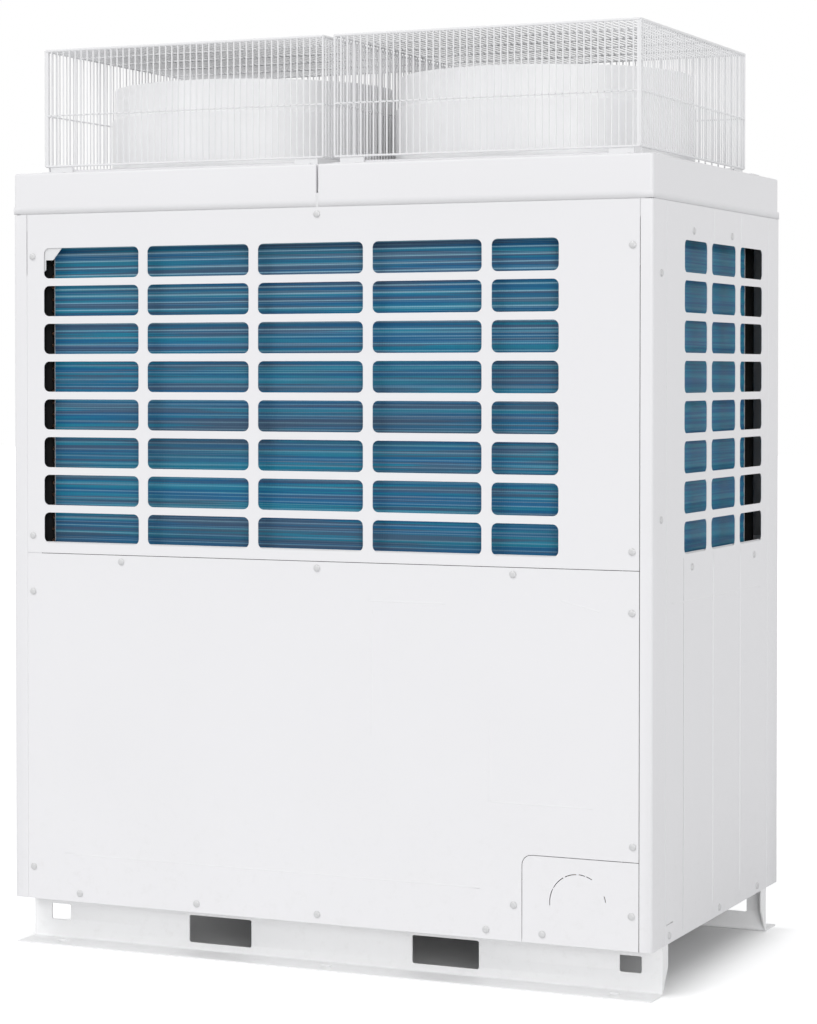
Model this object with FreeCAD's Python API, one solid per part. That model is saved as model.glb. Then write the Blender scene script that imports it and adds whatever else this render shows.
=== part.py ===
import FreeCAD, Part
import math
import os

V = FreeCAD.Vector

# A top-blowing outdoor unit of a variable refrigerant flow air conditioner, in mm.
# X runs along the front, the front faces -Y, Z is up, and the origin is on the floor under the middle.
# The painted cabinet stands on two folded steel legs. Its lower half holds the compressor and the valves.
# Its upper half is an air space between two bent coils, with two fans in round shrouds on the roof.

# Cabinet, over its painted sheets
width = 1240.0
depth = 740.0
panel_bottom = 85.0
lower_height = 639.0
upper_height = 622.0
cover_height = 76.0
sheet = 1.2
seam = 1.0
corner_radius = 15.0
pan_gap = 1.2

# Legs, of folded steel, with pockets for a fork lift
leg_sheet = 3.0
leg_inset = 70.0
foot_width = 67.0
leg_end_gap = 3.0
leg_top_flange = 35.0
pan_lift = 5.0
gusset_top = 27.0
pocket_x = 222.0
pocket_width = 127.0
pocket_height = 50.0
pocket_bottom = 16.0
end_window_x = 560.0
end_window_width = 40.0
end_window_height = 29.0
end_window_bottom = 37.0
anchor_x = 540.0
anchor_edge = 35.0
anchor_slot_width = 14.0
anchor_slot_length = 22.0

# Corner posts, with a tongue on each side that the panels are screwed to
post_front = 23.0
post_side = 71.0
tongue = 29.0
joggle = 2.0

# Pans and the roof frame. The steps of its gusset are measured across and down from the post.
pan_sheet = 1.6
pan_rim = 40.0
deck_rim = 22.0
frame_drop = 30.0
frame_rise = 25.0
frame_flange = 30.0
gusset_width = 106.0
gusset_steps = ((59.0, 54.0), (44.0, 54.0), (44.0, 72.0), (33.0, 81.0), (0.0, 81.0))

# Front grille, five columns of openings
grille_left = 58.0
opening_width = 204.6
opening_gap = 18.5
last_opening_width = 122.0
full_columns = 4
row_pitch = 69.3
opening_height = 55.4
opening_top = 62.0
opening_bottom = 15.0
opening_corner = 7.0

# Side grille, three columns beside the same rows, measured back from the front face
side_columns = ((168.0, 115.0), (326.0, 134.0), (497.0, 133.0))
bead_depth = 0.5
bead_width = 5.0
bead_margin = 16.0

# Flange of the lower front panel that the deck rests on
return_depth = 14.0

# Windows of the left side and the back, each with a welded wire guard inside
window_margin = 60.0
window_rise = 30.0
guard_lap = 12.0
guard_bar = 5.0
guard_wire = 4.0
guard_pitch = 128.0

# Cover over the pipe connections, with a part-cut disc to knock out
pipe_cover_width = 210.0
pipe_cover_height = 150.0
pipe_cover_radius = 18.0
knockout_from_post = 109.0
knockout_height = 72.0
knockout_radius = 51.0
knockout_slot = 2.0
knockout_ties = 5
knockout_tie = 14.0

# Top covers, two in a row, each with a hole for its fan and a squared band along its lower edge
cover_gap = 4.0
cover_band = 13.0
cover_hole_step = 5.0

# Low ribs pressed up from the covers under three sides of each cage, ending short of its corners
rib_height = 8.0
rib_width = 8.0
rib_inset = 6.5
rib_from_corner = 45.0

# Shrouds around the fans. Each fills the width of its cage, less these margins.
shroud_to_gap = 14.0
shroud_to_side = 15.5
shroud_to_front = 27.5
shroud_wall = 3.0
shroud_height = 167.0
shroud_step_height = 109.0
shroud_step = 5.0

# Wire cages over the shrouds. One wire in twelve is modelled here.
cage_outer = 37.5
cage_gap = 18.0
cage_front = 46.5
cage_lift = 13.5
cage_height = 218.0
cage_bar = 5.0
cage_corner = 9.0
cage_wire = 3.0
cage_pitch = 152.4
cage_middle = 95.5
clip_width = 46.0
clip_reach = 30.0
clip_sheet = 2.5
clip_from_corner = 36.0

# Fans
tip_clearance = 12.0
hub_radius = 80.0
hub_height = 96.0
blades = 4
blade_thickness = 4.0
blade_root_chord = 120.0
blade_tip_chord = 215.0
blade_root_pitch = 40.0
blade_tip_pitch = 24.0
blade_camber = 0.08
blade_lap = 8.0
blade_stations = 2
blade_strips = 4
fan_rise = 22.0

# Shafts and motors
shaft_radius = 7.0
shaft_clearance = 0.05
shaft_inside = 30.0
shaft_tip = 2.0
nut_flats = 21.0
nut_height = 9.0
nut_gap = 0.3
motor_radius = 72.0
motor_height = 66.0
motor_bevel = 10.0
motor_foot = 4.0
motor_foot_radius = 84.0
rail_height = 45.0
rail_width = 40.0
rail_sheet = 2.0
rail_spacing = 110.0

# Bent coils: one behind the front and the right side, its twin behind the back and the left side
coil_gap = 27.0
coil_depth = 40.0
coil_bend = 60.0
coil_free_end = 64.0
coil_side_length = 580.0
coil_top_gap = 10.0
header_radius = 14.0
header_gap = 0.5

# Compressor, on four rubber pads
compressor_from_left = 440.0
compressor_from_back = 310.0
compressor_radius = 98.0
compressor_height = 500.0
compressor_foot = 232.0
compressor_foot_corner = 30.0
compressor_foot_sheet = 5.0
pad_spacing = 180.0
pad_size = 32.0
pad_height = 18.0

# Pressure vessels on ring stands, with domed ends
accumulator_from_right = 490.0
accumulator_from_back = 240.0
accumulator_radius = 85.0
accumulator_height = 410.0
separator_from_left = 190.0
separator_from_back = 220.0
separator_radius = 58.0
separator_height = 380.0
dome_height = 30.0
crown_share = 0.5
stand_share = 0.7
stand_height = 24.0

# Reversing valve and pipes
reversing_from_right = 200.0
reversing_from_back = 250.0
reversing_under_top = 15.0
reversing_height = 44.0
reversing_depth = 50.0
reversing_length = 150.0
reversing_corner = 8.0
port_pitch = 35.0
discharge_radius = 9.5
suction_radius = 12.7
gas_radius = 12.7
liquid_radius = 8.0
pipe_over = 25.0
pipe_under = 46.0

# Service valves on their bracket, behind the pipe cover
shelf_lift = 48.0
shelf_depth = 60.0
liquid_from_right = 95.0
liquid_from_back = 170.0
bracket_from_front = 108.0
bracket_foot = 40.0
bracket_sheet = 3.0
bracket_margin = 38.0
valve_length = 64.0
gas_valve_flats = 40.0
liquid_valve_flats = 30.0
stub_wall = 1.5
stub_length = 20.0
bonnet_flats = 22.0
bonnet_height = 16.0
stem_radius = 6.0
stem_square = 9.0
stem_out = 18.0
stem_clearance = 0.3

# Electrical box, hung under the deck
box_left = 60.0
box_width = 480.0
box_front = 27.0
box_depth = 160.0
box_height = 400.0
box_sheet = 1.0
box_lip = 14.0

# Hexagon head screws, each placed from the edge of the panel that it holds. Those of the left half of the
# front are placed from the left post, those of its right half from the pipe cover.
screw_flats = 13.0
screw_head = 3.0
screw_inset = 13.0
low_screw_rise = 59.0
seam_screw_drop = 71.0
seam_screw_rise = 32.0
high_screw_drop = 77.0
bottom_screw_rise = 16.0
left_bottom_screws = (115.0, 357.0)
right_bottom_screw = 65.5
pipe_cover_screw = 37.5
pipe_cover_side_screw = (14.5, 62.0)
pipe_cover_top_screw = (11.0, 26.0)
deck_screw_drop = 12.0
deck_screw_from_posts = (203.0, 227.0)
top_screw_drop = 12.0
side_post_screw = 42.0
side_post_screw_drops = (123.0, 538.0)
side_top_screws = (218.0, 439.0)
side_top_screw_drop = 45.0
side_deck_screws = (211.0, 581.0)
side_deck_screw_drop = 5.0
side_bottom_screws = (90.0, 372.0, 606.0)
side_bottom_screw_rise = 14.0

# How many flat sides stand in for a circle: the shrouds and their holes, the fan hubs, the round cases that
# the cabinet hides, and the pipes. Few of them keep the model light.
ring_sides = 48
hub_sides = 24
case_sides = 16
pipe_sides = 12

# How far a cutter reaches past what it cuts
past = 1.0

front = -depth / 2
back = depth / 2
right = width / 2
left = -width / 2
pan_z = panel_bottom + pan_lift
floor_z = pan_z + pan_sheet
seam_mid = panel_bottom + lower_height
seam_top = seam_mid + upper_height
deck_z = seam_mid - seam / 2
cover_z = seam_top + seam
cover_top = seam_top + cover_height
post_x = right - post_front
post_y = back - post_side
cage_z = cover_top + cage_lift
cage_side = right - cage_outer
shroud_radius = (cage_side - cage_gap / 2 - shroud_to_gap - shroud_to_side) / 2
fan_x = cage_gap / 2 + shroud_to_gap + shroud_radius
fan_y = front + cage_front + shroud_to_front + shroud_radius
cage_back = fan_y + shroud_radius + shroud_to_front
web_y = front + leg_inset
frame_z = seam_top - frame_drop
rail_z = frame_z + sheet
motor_z = rail_z + rail_height
motor_top = motor_z + motor_foot + motor_height
fan_z = cover_top + fan_rise
tip_radius = shroud_radius - shroud_step - shroud_wall - tip_clearance
coil_z = deck_z + sheet
coil_top = frame_z - coil_top_gap
compressor_z = floor_z + pad_height
compressor_top = compressor_z + compressor_height
shelf_z = floor_z + shelf_lift
compressor_x = left + compressor_from_left
compressor_y = back - compressor_from_back
accumulator_x = right - accumulator_from_right
accumulator_y = back - accumulator_from_back
separator_x = left + separator_from_left
separator_y = back - separator_from_back
reversing_x = right - reversing_from_right
reversing_y = back - reversing_from_back
reversing_z = compressor_top - reversing_under_top
gas_x = reversing_x + port_pitch
liquid_x = right - liquid_from_right
liquid_y = back - liquid_from_back
bracket_y = front + bracket_from_front
knockout_x = post_x - knockout_from_post
notch_x = post_x - seam / 2 - pipe_cover_width
notch_z = panel_bottom + pipe_cover_height


# Small tools for flat, folded and many-sided shapes

def box(x0, x1, y0, y1, z0, z1):
    return Part.makeBox(x1 - x0, y1 - y0, z1 - z0, V(x0, y0, z0))


def rod(radius, z0, z1, x, y):
    return Part.makeCylinder(radius, z1 - z0, V(x, y, z0))


def rod_y(radius, y0, y1, x, z):
    return Part.makeCylinder(radius, y1 - y0, V(x, y0, z), V(0, 1, 0))


def join(shapes):
    """One solid out of shapes that overlap or meet."""
    return shapes[0].multiFuse(shapes[1:]).removeSplitter()


def polygon(points):
    """A flat closed face with sharp corners."""
    corners = [V(p[0], p[1], 0) for p in points]
    return Part.Face(Part.makePolygon(corners + corners[:1]))


def rectangle(x0, x1, y0, y1):
    return polygon([(x0, y0), (x1, y0), (x1, y1), (x0, y1)])


def cut_rectangle(x0, x1, y0, y1, corner):
    """A rectangle whose small corner radii are drawn as straight cuts, which keeps what repeats light."""
    c = corner
    return polygon([(x0 + c, y0), (x1 - c, y0), (x1, y0 + c), (x1, y1 - c), (x1 - c, y1), (x0 + c, y1),
                    (x0, y1 - c), (x0, y0 + c)])


def hexagon(flats, height):
    """A hexagonal bar from the origin upward, with two of its flats facing -Y and +Y."""
    radius = flats / math.sqrt(3)
    turns = [math.radians(60 * k) for k in range(6)]
    return polygon([(radius * math.cos(t), radius * math.sin(t)) for t in turns]).extrude(V(0, 0, height))


def outline(points, radii):
    """A flat closed face, with corner k of the polygon rounded by radii[k]."""
    count = len(points)
    corners = [V(p[0], p[1], 0) for p in points]
    entries, exits, middles = [], [], []
    for k in range(count):
        before = (corners[k - 1] - corners[k]).normalize()
        after = (corners[(k + 1) % count] - corners[k]).normalize()
        if radii[k] <= 0:
            entries.append(corners[k])
            exits.append(corners[k])
            middles.append(None)
            continue
        half = math.acos(before.dot(after)) / 2
        reach = radii[k] / math.tan(half)
        centre = corners[k] + (before + after).normalize() * (radii[k] / math.sin(half))
        entries.append(corners[k] + before * reach)
        exits.append(corners[k] + after * reach)
        middles.append(centre + (corners[k] - centre).normalize() * radii[k])
    edges = []
    for k in range(count):
        if middles[k] is not None:
            edges.append(Part.Arc(entries[k], middles[k], exits[k]).toShape())
        edges.append(Part.LineSegment(exits[k], entries[(k + 1) % count]).toShape())
    return Part.Face(Part.Wire(edges))


def folded(points, thickness, inside_radius=0):
    """The section of a folded sheet to the left of the line through points, with square turns rounded."""
    line = [V(p[0], p[1], 0) for p in points]
    ways = [(line[k + 1] - line[k]).normalize() for k in range(len(line) - 1)]
    offset, radii, offset_radii = [], [], []
    for k, point in enumerate(line):
        before = ways[max(k - 1, 0)]
        after = ways[min(k, len(ways) - 1)]
        normal = V(-before.y - after.y, before.x + after.x, 0).normalize()
        lean = normal.dot(V(-before.y, before.x, 0))
        offset.append(point + normal * (thickness / lean))
        square = before.dot(after) < 0.5 and inside_radius > 0
        radii.append(inside_radius + thickness if square else 0)
        offset_radii.append(inside_radius if square else 0)
    corners = [(p.x, p.y) for p in line] + [(p.x, p.y) for p in reversed(offset)]
    return outline(corners, radii + offset_radii[::-1])


def flat(face, z0, z1):
    """Raises a face drawn in X and Y to the slab from z0 to z1."""
    shape = face.extrude(V(0, 0, z1 - z0))
    shape.translate(V(0, 0, z0))
    return shape


def upright(face, y0, y1):
    """Turns a face drawn as X and Z into a slab from y0 to y1."""
    shape = face.extrude(V(0, 0, y1 - y0))
    shape.rotate(V(0, 0, 0), V(1, 0, 0), 90)
    shape.translate(V(0, y1, 0))
    return shape


def sideways(face, x0, x1):
    """Turns a face drawn as Y and Z into a slab from x0 to x1."""
    shape = face.extrude(V(0, 0, x1 - x0))
    shape.rotate(V(0, 0, 0), V(1, 0, 0), 90)
    shape.rotate(V(0, 0, 0), V(0, 0, 1), 90)
    shape.translate(V(x0, 0, 0))
    return shape


def turned(shape):
    """The same piece on the opposite side of the unit."""
    copy = shape.copy()
    copy.rotate(V(0, 0, 0), V(0, 0, 1), 180)
    return copy


def mirrored(shape):
    """The left-hand piece of a pair, from the right-hand one."""
    return shape.mirror(V(0, 0, 0), V(1, 0, 0))


def closed(loops):
    """The solid inside flat faces, each given by its corners."""
    faces = [Part.Face(Part.makePolygon(loop + loop[:1])) for loop in loops]
    solid = Part.makeSolid(Part.makeShell(faces))
    if solid.Volume < 0:
        solid.reverse()
    return solid


def skin(rings):
    """A solid with flat faces between matching rings of points, closed by the first ring and the last."""
    loops = [rings[0], rings[-1]]
    for low, high in zip(rings, rings[1:]):
        loops += [[low[k - 1], low[k], high[k], high[k - 1]] for k in range(len(low))]
    return closed(loops)


def stack(profile, sides, x, y):
    """A many-sided solid about the upright line through x, y. The profile is radius and height."""
    turns = [2 * math.pi * k / sides for k in range(sides)]
    return skin([[V(x + r * math.cos(t), y + r * math.sin(t), z) for t in turns] for r, z in profile])


def tube(points, radius):
    """A many-sided pipe along straight runs with mitred corners."""
    route = [V(*p) for p in points]
    ways = [(b - a).normalize() for a, b in zip(route, route[1:])]
    across = ways[0].cross(V(1, 0, 0)).normalize()
    up = ways[0].cross(across)
    turns = [2 * math.pi * (k + 0.5) / pipe_sides for k in range(pipe_sides)]
    rings = [[route[0] + (across * math.cos(t) + up * math.sin(t)) * radius for t in turns]]
    for k, way in enumerate(ways):
        facing = way + ways[min(k + 1, len(ways) - 1)]
        end = route[k + 1]
        rings.append([p + way * ((end - p).dot(facing) / way.dot(facing)) for p in rings[-1]])
    return skin(rings)


def grille(length, height, bar, end_bar, wire, pitch, middle):
    """A welded wire grille in X and Z from the origin. Middle is the height of a cross wire, 0 for none."""
    columns = max(2, round(length / pitch))
    clear = (length - 2 * end_bar - (columns - 1) * wire) / columns
    bands = [(bar, height - bar)]
    if middle:
        bands = [(bar, middle - wire / 2), (middle + wire / 2, height - bar)]
    openings = []
    for k in range(columns):
        x = end_bar + k * (clear + wire)
        openings += [box(x, x + clear, -past, bar + past, low, high) for low, high in bands]
    return box(0, length, 0, bar, 0, height).cut(openings)


# Legs

def front_leg():
    """One folded steel leg: a foot outward, an upright web and a flange under the pan."""
    inner_web = web_y + leg_sheet
    top = pan_z - leg_sheet
    half = right - leg_end_gap
    line = [(web_y - foot_width, 0), (inner_web, 0), (inner_web, top), (inner_web + leg_top_flange, top)]
    reach = inner_web + gusset_top
    ear = polygon([(inner_web, leg_sheet), (reach, pan_z / 2), (reach, top), (inner_web, top)])
    parts = [sideways(folded(line, leg_sheet), -half, half)]
    parts += [sideways(ear, x, x + leg_sheet) for x in (-half, half - leg_sheet)]
    windows = [(pocket_x, pocket_width, pocket_bottom, pocket_height),
               (end_window_x, end_window_width, end_window_bottom, end_window_height)]
    cutters = []
    for centre, wide, low, tall in windows:
        for x in (-centre, centre):
            cutters.append(box(x - wide / 2, x + wide / 2, web_y - past, inner_web + past, low, low + tall))
    y = web_y - foot_width + anchor_edge
    radius = anchor_slot_width / 2
    half_run = anchor_slot_length / 2 - radius
    for x in (-anchor_x, 0, anchor_x):
        slot = [rod(radius, -past, leg_sheet + past, x + end, y) for end in (-half_run, half_run)]
        slot.append(box(x - half_run, x + half_run, y - radius, y + radius, -past, leg_sheet + past))
        cutters.append(join(slot))
    return join(parts).cut(cutters)


# Corner posts

def frame_envelope():
    """The space that the roof frame fills, up to the inner face of the sheets."""
    a, b = right - sheet, back - sheet
    return flat(cut_rectangle(-a, a, -b, b, corner_radius - sheet), frame_z, seam_top + frame_rise)


def corner_post():
    """The post at the front right corner, rounded at the corner and stepped in behind both panels."""
    edge = post_x - seam / 2
    side_edge = front + post_side + seam / 2
    line = [(edge - tongue, front + sheet), (edge, front + sheet), (edge + joggle, front), (right, front),
            (right, side_edge - joggle), (right - sheet, side_edge), (right - sheet, side_edge + tongue)]
    section = folded(line, sheet, corner_radius - sheet)
    return flat(section, panel_bottom, seam_top).cut(frame_envelope())


# Pans and roof frame

def tray(z, rim, thickness):
    """A pan with its rim turned up, inside the panels and posts. Its corners are cut to clear the posts."""
    a, b = right - sheet - pan_gap, back - sheet - pan_gap
    t = thickness
    outer = flat(cut_rectangle(-a, a, -b, b, corner_radius - sheet), z, z + rim)
    inner = flat(cut_rectangle(t - a, a - t, t - b, b - t, corner_radius - sheet), z + t, z + rim + past)
    return outer.cut(inner)


def base_pan():
    return tray(pan_z, pan_rim, pan_sheet)


def deck():
    """The drain pan under the coils, which closes the machine space from the air space."""
    return tray(deck_z, deck_rim, sheet)


def roof_frame():
    """The angle ring that ties the posts together, with a stepped gusset at two front corners."""
    a, b = right - 2 * sheet, back - 2 * sheet
    hollow = flat(cut_rectangle(-a, a, -b, b, corner_radius - sheet), rail_z, seam_top + frame_rise + past)
    a, b = right - sheet - frame_flange, back - sheet - frame_flange
    hole = box(-a, a, -b, b, frame_z - past, rail_z + past)
    ring = frame_envelope().cut([hollow, hole])
    edge = post_x - seam / 2
    points = [(edge, rail_z), (edge - gusset_width, rail_z)]
    points += [(edge - across, frame_z - down) for across, down in gusset_steps]
    gusset = upright(polygon(points), front + 2 * sheet, front + 3 * sheet)
    return join([ring, gusset, mirrored(gusset)])


# Panels

def opening_rows():
    """Lower and upper edge of each row of openings, as many as the upper panel has room for."""
    rows = 1 + int((upper_height - opening_top - opening_height - opening_bottom) / row_pitch)
    tops = [seam_top - opening_top - k * row_pitch for k in range(rows)]
    return [(top - opening_height, top) for top in tops]


def front_upper_panel():
    """The pierced front of the air space."""
    edge = post_x - seam / 2
    cutters = []
    x = left + grille_left
    for column in range(full_columns + 1):
        wide = opening_width if column < full_columns else last_opening_width
        for low, high in opening_rows():
            hole = cut_rectangle(x, x + wide, low, high, opening_corner)
            cutters.append(upright(hole, front - past, front + sheet + past))
        x += wide + opening_gap
    plate = upright(rectangle(-edge, edge, seam_mid + seam / 2, seam_top), front, front + sheet)
    return plate.cut(cutters)


def front_lower_panel():
    """The plain lower front, cut out for the pipe cover, with a flange that the deck rests on."""
    edge = post_x - seam / 2
    points = [(-edge, panel_bottom), (notch_x, panel_bottom), (notch_x, notch_z), (edge, notch_z),
              (edge, deck_z), (-edge, deck_z)]
    plate = upright(outline(points, [0, 0, pipe_cover_radius, 0, 0, 0]), front, front + sheet)
    clear = edge - tongue - seam
    flange = box(-clear, clear, front, front + return_depth, deck_z - sheet, deck_z)
    return join([plate, flange])


def pipe_cover():
    """The plate in the corner of the lower panel. Short slots mark the disc that is knocked out."""
    x0 = notch_x + seam
    x1 = post_x - seam / 2
    z1 = notch_z - seam
    points = [(x0, panel_bottom), (x1, panel_bottom), (x1, z1), (x0, z1)]
    plate = upright(outline(points, [0, 0, 0, pipe_cover_radius - seam]), front, front + sheet)
    centre_z = panel_bottom + knockout_height
    y0, y1 = front - past, front + sheet + past
    disc = rod_y(knockout_radius, y0, y1, knockout_x, centre_z)
    keep = [rod_y(knockout_radius - knockout_slot, y0, y1, knockout_x, centre_z)]
    reach = knockout_radius + past
    keep.append(box(knockout_x - reach, knockout_x + reach, y0, y1, centre_z - reach, centre_z))
    for k in range(knockout_ties):
        spoke = box(0, reach, y0, y1, -knockout_tie / 2, knockout_tie / 2)
        spoke.rotate(V(0, 0, 0), V(0, 1, 0), -180 * k / (knockout_ties - 1))
        spoke.translate(V(knockout_x, 0, centre_z))
        keep.append(spoke)
    return plate.cut(disc.cut(keep))


def side_sheet():
    """The flat sheet between the posts of the right side."""
    edge = post_y - seam / 2
    return sideways(rectangle(-edge, edge, panel_bottom, seam_top), right - sheet, right)


def right_side_panel():
    """The pressed side, with openings beside the front ones and three long beads below them."""
    cutters = []
    for start, wide in side_columns:
        y = front + start
        for low, high in opening_rows():
            hole = cut_rectangle(y, y + wide, low, high, opening_corner)
            cutters.append(sideways(hole, right - sheet - past, right + past))
        lowest = opening_rows()[-1][0]
        cutters.append(box(right - bead_depth, right + past, y - bead_width / 2, y + bead_width / 2,
                           panel_bottom + bead_margin, lowest - bead_margin))
    return side_sheet().cut(cutters)


def window_heights():
    return deck_z + deck_rim + window_rise, seam_top - window_margin


def left_side_panel():
    """The far side, with one large window in front of the second coil."""
    low, high = window_heights()
    half = post_y - window_margin
    hole = rectangle(-half, half, low, high)
    return turned(side_sheet().cut(sideways(hole, right - sheet - past, right + past)))


def back_panel():
    low, high = window_heights()
    edge = post_x - seam / 2
    half = post_x - window_margin
    hole = rectangle(-half, half, low, high)
    plate = upright(rectangle(-edge, edge, panel_bottom, seam_top), back - sheet, back)
    return plate.cut(upright(hole, back - sheet - past, back + past))


def guard(window_half):
    """The wire guard of a window, in X and Z, lapping the window on all sides."""
    low, high = window_heights()
    half = window_half + guard_lap
    wires = grille(2 * half, high - low + 2 * guard_lap, guard_bar, guard_bar, guard_wire, guard_pitch, 0)
    wires.translate(V(-half, 0, low - guard_lap))
    return wires


def back_guard():
    wires = guard(post_x - window_margin)
    wires.translate(V(0, back - sheet - guard_bar, 0))
    return wires


def left_guard():
    wires = guard(post_y - window_margin)
    wires.rotate(V(0, 0, 0), V(0, 0, 1), 90)
    wires.translate(V(left + sheet + guard_bar, 0, 0))
    return wires


# Roof covers and shrouds

def cover_ribs():
    """The ribs at the front, the back and the outer side, just inside the cage's wires."""
    x0, x1 = cage_gap / 2 + rib_from_corner, cage_side - rib_from_corner
    y0, y1 = front + cage_front, cage_back
    near, far = rib_inset, rib_inset + rib_width
    low, high = cover_top - sheet, cover_top + rib_height
    return [box(x0, x1, y0 + near, y0 + far, low, high), box(x0, x1, y1 - far, y1 - near, low, high),
            box(cage_side - far, cage_side - near, y0 + rib_from_corner, y1 - rib_from_corner, low, high)]


def right_cover():
    """One roof cover: rounded skirt, squared band at its lower edge, ribs, and a hole under the shroud."""
    x0 = cover_gap / 2
    radii = [0, corner_radius, corner_radius, 0]
    points = [(x0, front), (right, front), (right, back), (x0, back)]
    body = flat(outline(points, radii), cover_z, cover_top)
    band = flat(polygon(points), cover_z, cover_z + cover_band)
    a, b, c = right - sheet, back - sheet, corner_radius - sheet
    inside = [(x0 + sheet, -b), (a - c, -b), (a, c - b), (a, b - c), (a - c, b), (x0 + sheet, b)]
    hollow = flat(polygon(inside), cover_z - past, cover_top - sheet)
    doorway = box(x0 - past, x0 + sheet + past, -b, b, cover_z - past, seam_top + frame_rise + seam)
    radius = shroud_radius - cover_hole_step
    hole = stack([(radius, cover_top - 2 * sheet), (radius, cover_top + past)], ring_sides, fan_x, fan_y)
    return join([body, band] + cover_ribs()).cut([hollow, doorway, hole])


def shroud(x):
    """The ring around a fan, narrower above its step. The inside is the straight bore for the fan."""
    step = cover_top + shroud_step_height
    top = cover_top + shroud_height
    upper = shroud_radius - shroud_step
    profile = [(shroud_radius, cover_top), (shroud_radius, step), (upper, step + shroud_step), (upper, top)]
    inside = upper - shroud_wall
    bore = stack([(inside, cover_top - past), (inside, top + past)], ring_sides, x, fan_y)
    return stack(profile, ring_sides, x, fan_y).cut(bore)


# Wire cages

def cage_walls(name, x0, x1):
    """The five flat grilles of one cage, which are welded at their edges."""
    y0, y1 = front + cage_front, cage_back
    wall_height = cage_height - cage_bar
    walls = {}
    for side, y in (("_front", y0), ("_back", y1 - cage_bar)):
        wall = grille(x1 - x0, wall_height, cage_bar, cage_corner, cage_wire, cage_pitch, cage_middle)
        wall.translate(V(x0, y, cage_z))
        walls[name + side] = wall
    for side, x in (("_left", x0 + cage_bar), ("_right", x1)):
        wall = grille(y1 - y0 - 2 * cage_bar, wall_height, cage_bar, cage_bar, cage_wire, cage_pitch,
                      cage_middle)
        wall.rotate(V(0, 0, 0), V(0, 0, 1), 90)
        wall.translate(V(x, y0 + cage_bar, cage_z))
        walls[name + side] = wall
    top = grille(x1 - x0, y1 - y0, cage_bar, cage_bar, cage_wire, cage_pitch, 0)
    top.rotate(V(0, 0, 0), V(1, 0, 0), -90)
    top.translate(V(x0, y0, cage_z + cage_height))
    walls[name + "_top"] = top
    return walls


def cage_foot(x, y, away):
    """A folded foot that stands on the cover and carries the lowest bar of a cage."""
    points = [(-clip_reach, cover_top), (cage_bar, cover_top), (cage_bar, cage_z),
              (cage_bar - clip_sheet, cage_z), (cage_bar - clip_sheet, cover_top + clip_sheet),
              (-clip_reach, cover_top + clip_sheet)]
    foot = sideways(polygon(points), -clip_width / 2, clip_width / 2)
    foot.rotate(V(0, 0, 0), V(0, 0, 1), away)
    foot.translate(V(x, y, 0))
    return foot


def cage_feet():
    y0, y1 = front + cage_front, cage_back
    feet = []
    for side in (-1, 1):
        for x in (cage_gap / 2 + clip_from_corner, cage_side - clip_from_corner):
            feet.append(cage_foot(side * x, y0, 0))
            feet.append(cage_foot(side * x, y1, 180))
        for y in (y0 + clip_from_corner, y1 - clip_from_corner):
            feet.append(cage_foot(side * cage_side, y, 90 * side))
    return Part.makeCompound(feet)


# Fans, motors and their rails

def blade():
    """One twisted, cambered blade on the +X side. It grows wider outward and ends on the tip circle."""
    under, over = [], []
    for i in range(blade_stations + 1):
        out = i / blade_stations
        radius = hub_radius - blade_lap + out * (tip_radius - hub_radius + blade_lap)
        chord = blade_root_chord + out * (blade_tip_chord - blade_root_chord)
        pitch = math.radians(blade_root_pitch + out * (blade_tip_pitch - blade_root_pitch))
        line = []
        for j in range(blade_strips + 1):
            along = j / blade_strips - 0.5
            turn = along * chord * math.cos(pitch) / radius
            rise = along * chord * math.sin(pitch) + chord * blade_camber * (1 - 4 * along * along)
            line.append(V(radius * math.cos(turn), radius * math.sin(turn), fan_z + hub_height / 2 + rise))
        under.append(line)
        over.append([point + V(0, 0, blade_thickness) for point in line])
    loops = []
    for i in range(blade_stations):
        for j in range(blade_strips):
            for grid in (under, over):
                loops.append([grid[i][j], grid[i + 1][j], grid[i + 1][j + 1]])
                loops.append([grid[i][j], grid[i + 1][j + 1], grid[i][j + 1]])
        for j in (0, blade_strips):
            loops.append([under[i][j], under[i + 1][j], over[i + 1][j], over[i][j]])
    for i in (0, blade_stations):
        for j in range(blade_strips):
            loops.append([under[i][j], under[i][j + 1], over[i][j + 1], over[i][j]])
    return closed(loops)


def fan(x):
    """Axial fan: a bored hub and its blades."""
    low, high = fan_z, fan_z + hub_height
    parts = [stack([(hub_radius, low), (hub_radius, high)], hub_sides, 0, 0)]
    for k in range(blades):
        copy = blade()
        copy.rotate(V(0, 0, 0), V(0, 0, 1), 360 * k / blades)
        parts.append(copy)
    wheel = join(parts).cut(rod(shaft_radius + shaft_clearance, low - past, high + past, 0, 0))
    wheel.translate(V(x, fan_y, 0))
    return wheel


def fan_shaft(x):
    """The motor shaft with the nut that holds the hub."""
    nut_z = fan_z + hub_height + nut_gap
    nut = hexagon(nut_flats, nut_height)
    nut.translate(V(0, 0, nut_z))
    shaft = join([rod(shaft_radius, motor_top - shaft_inside, nut_z + nut_height + shaft_tip, 0, 0), nut])
    shaft.translate(V(x, fan_y, 0))
    return shaft


def fan_motor(x):
    """A sealed motor on a round foot, with the hole that its shaft comes out of."""
    top = motor_z + motor_foot
    profile = [(motor_foot_radius, motor_z), (motor_foot_radius, top), (motor_radius, top),
               (motor_radius, motor_top - motor_bevel), (motor_radius - motor_bevel, motor_top)]
    hole = rod(shaft_radius + shaft_clearance, motor_top - shaft_inside - past, motor_top + past, x, fan_y)
    return stack(profile, case_sides, x, fan_y).cut(hole)


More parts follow.
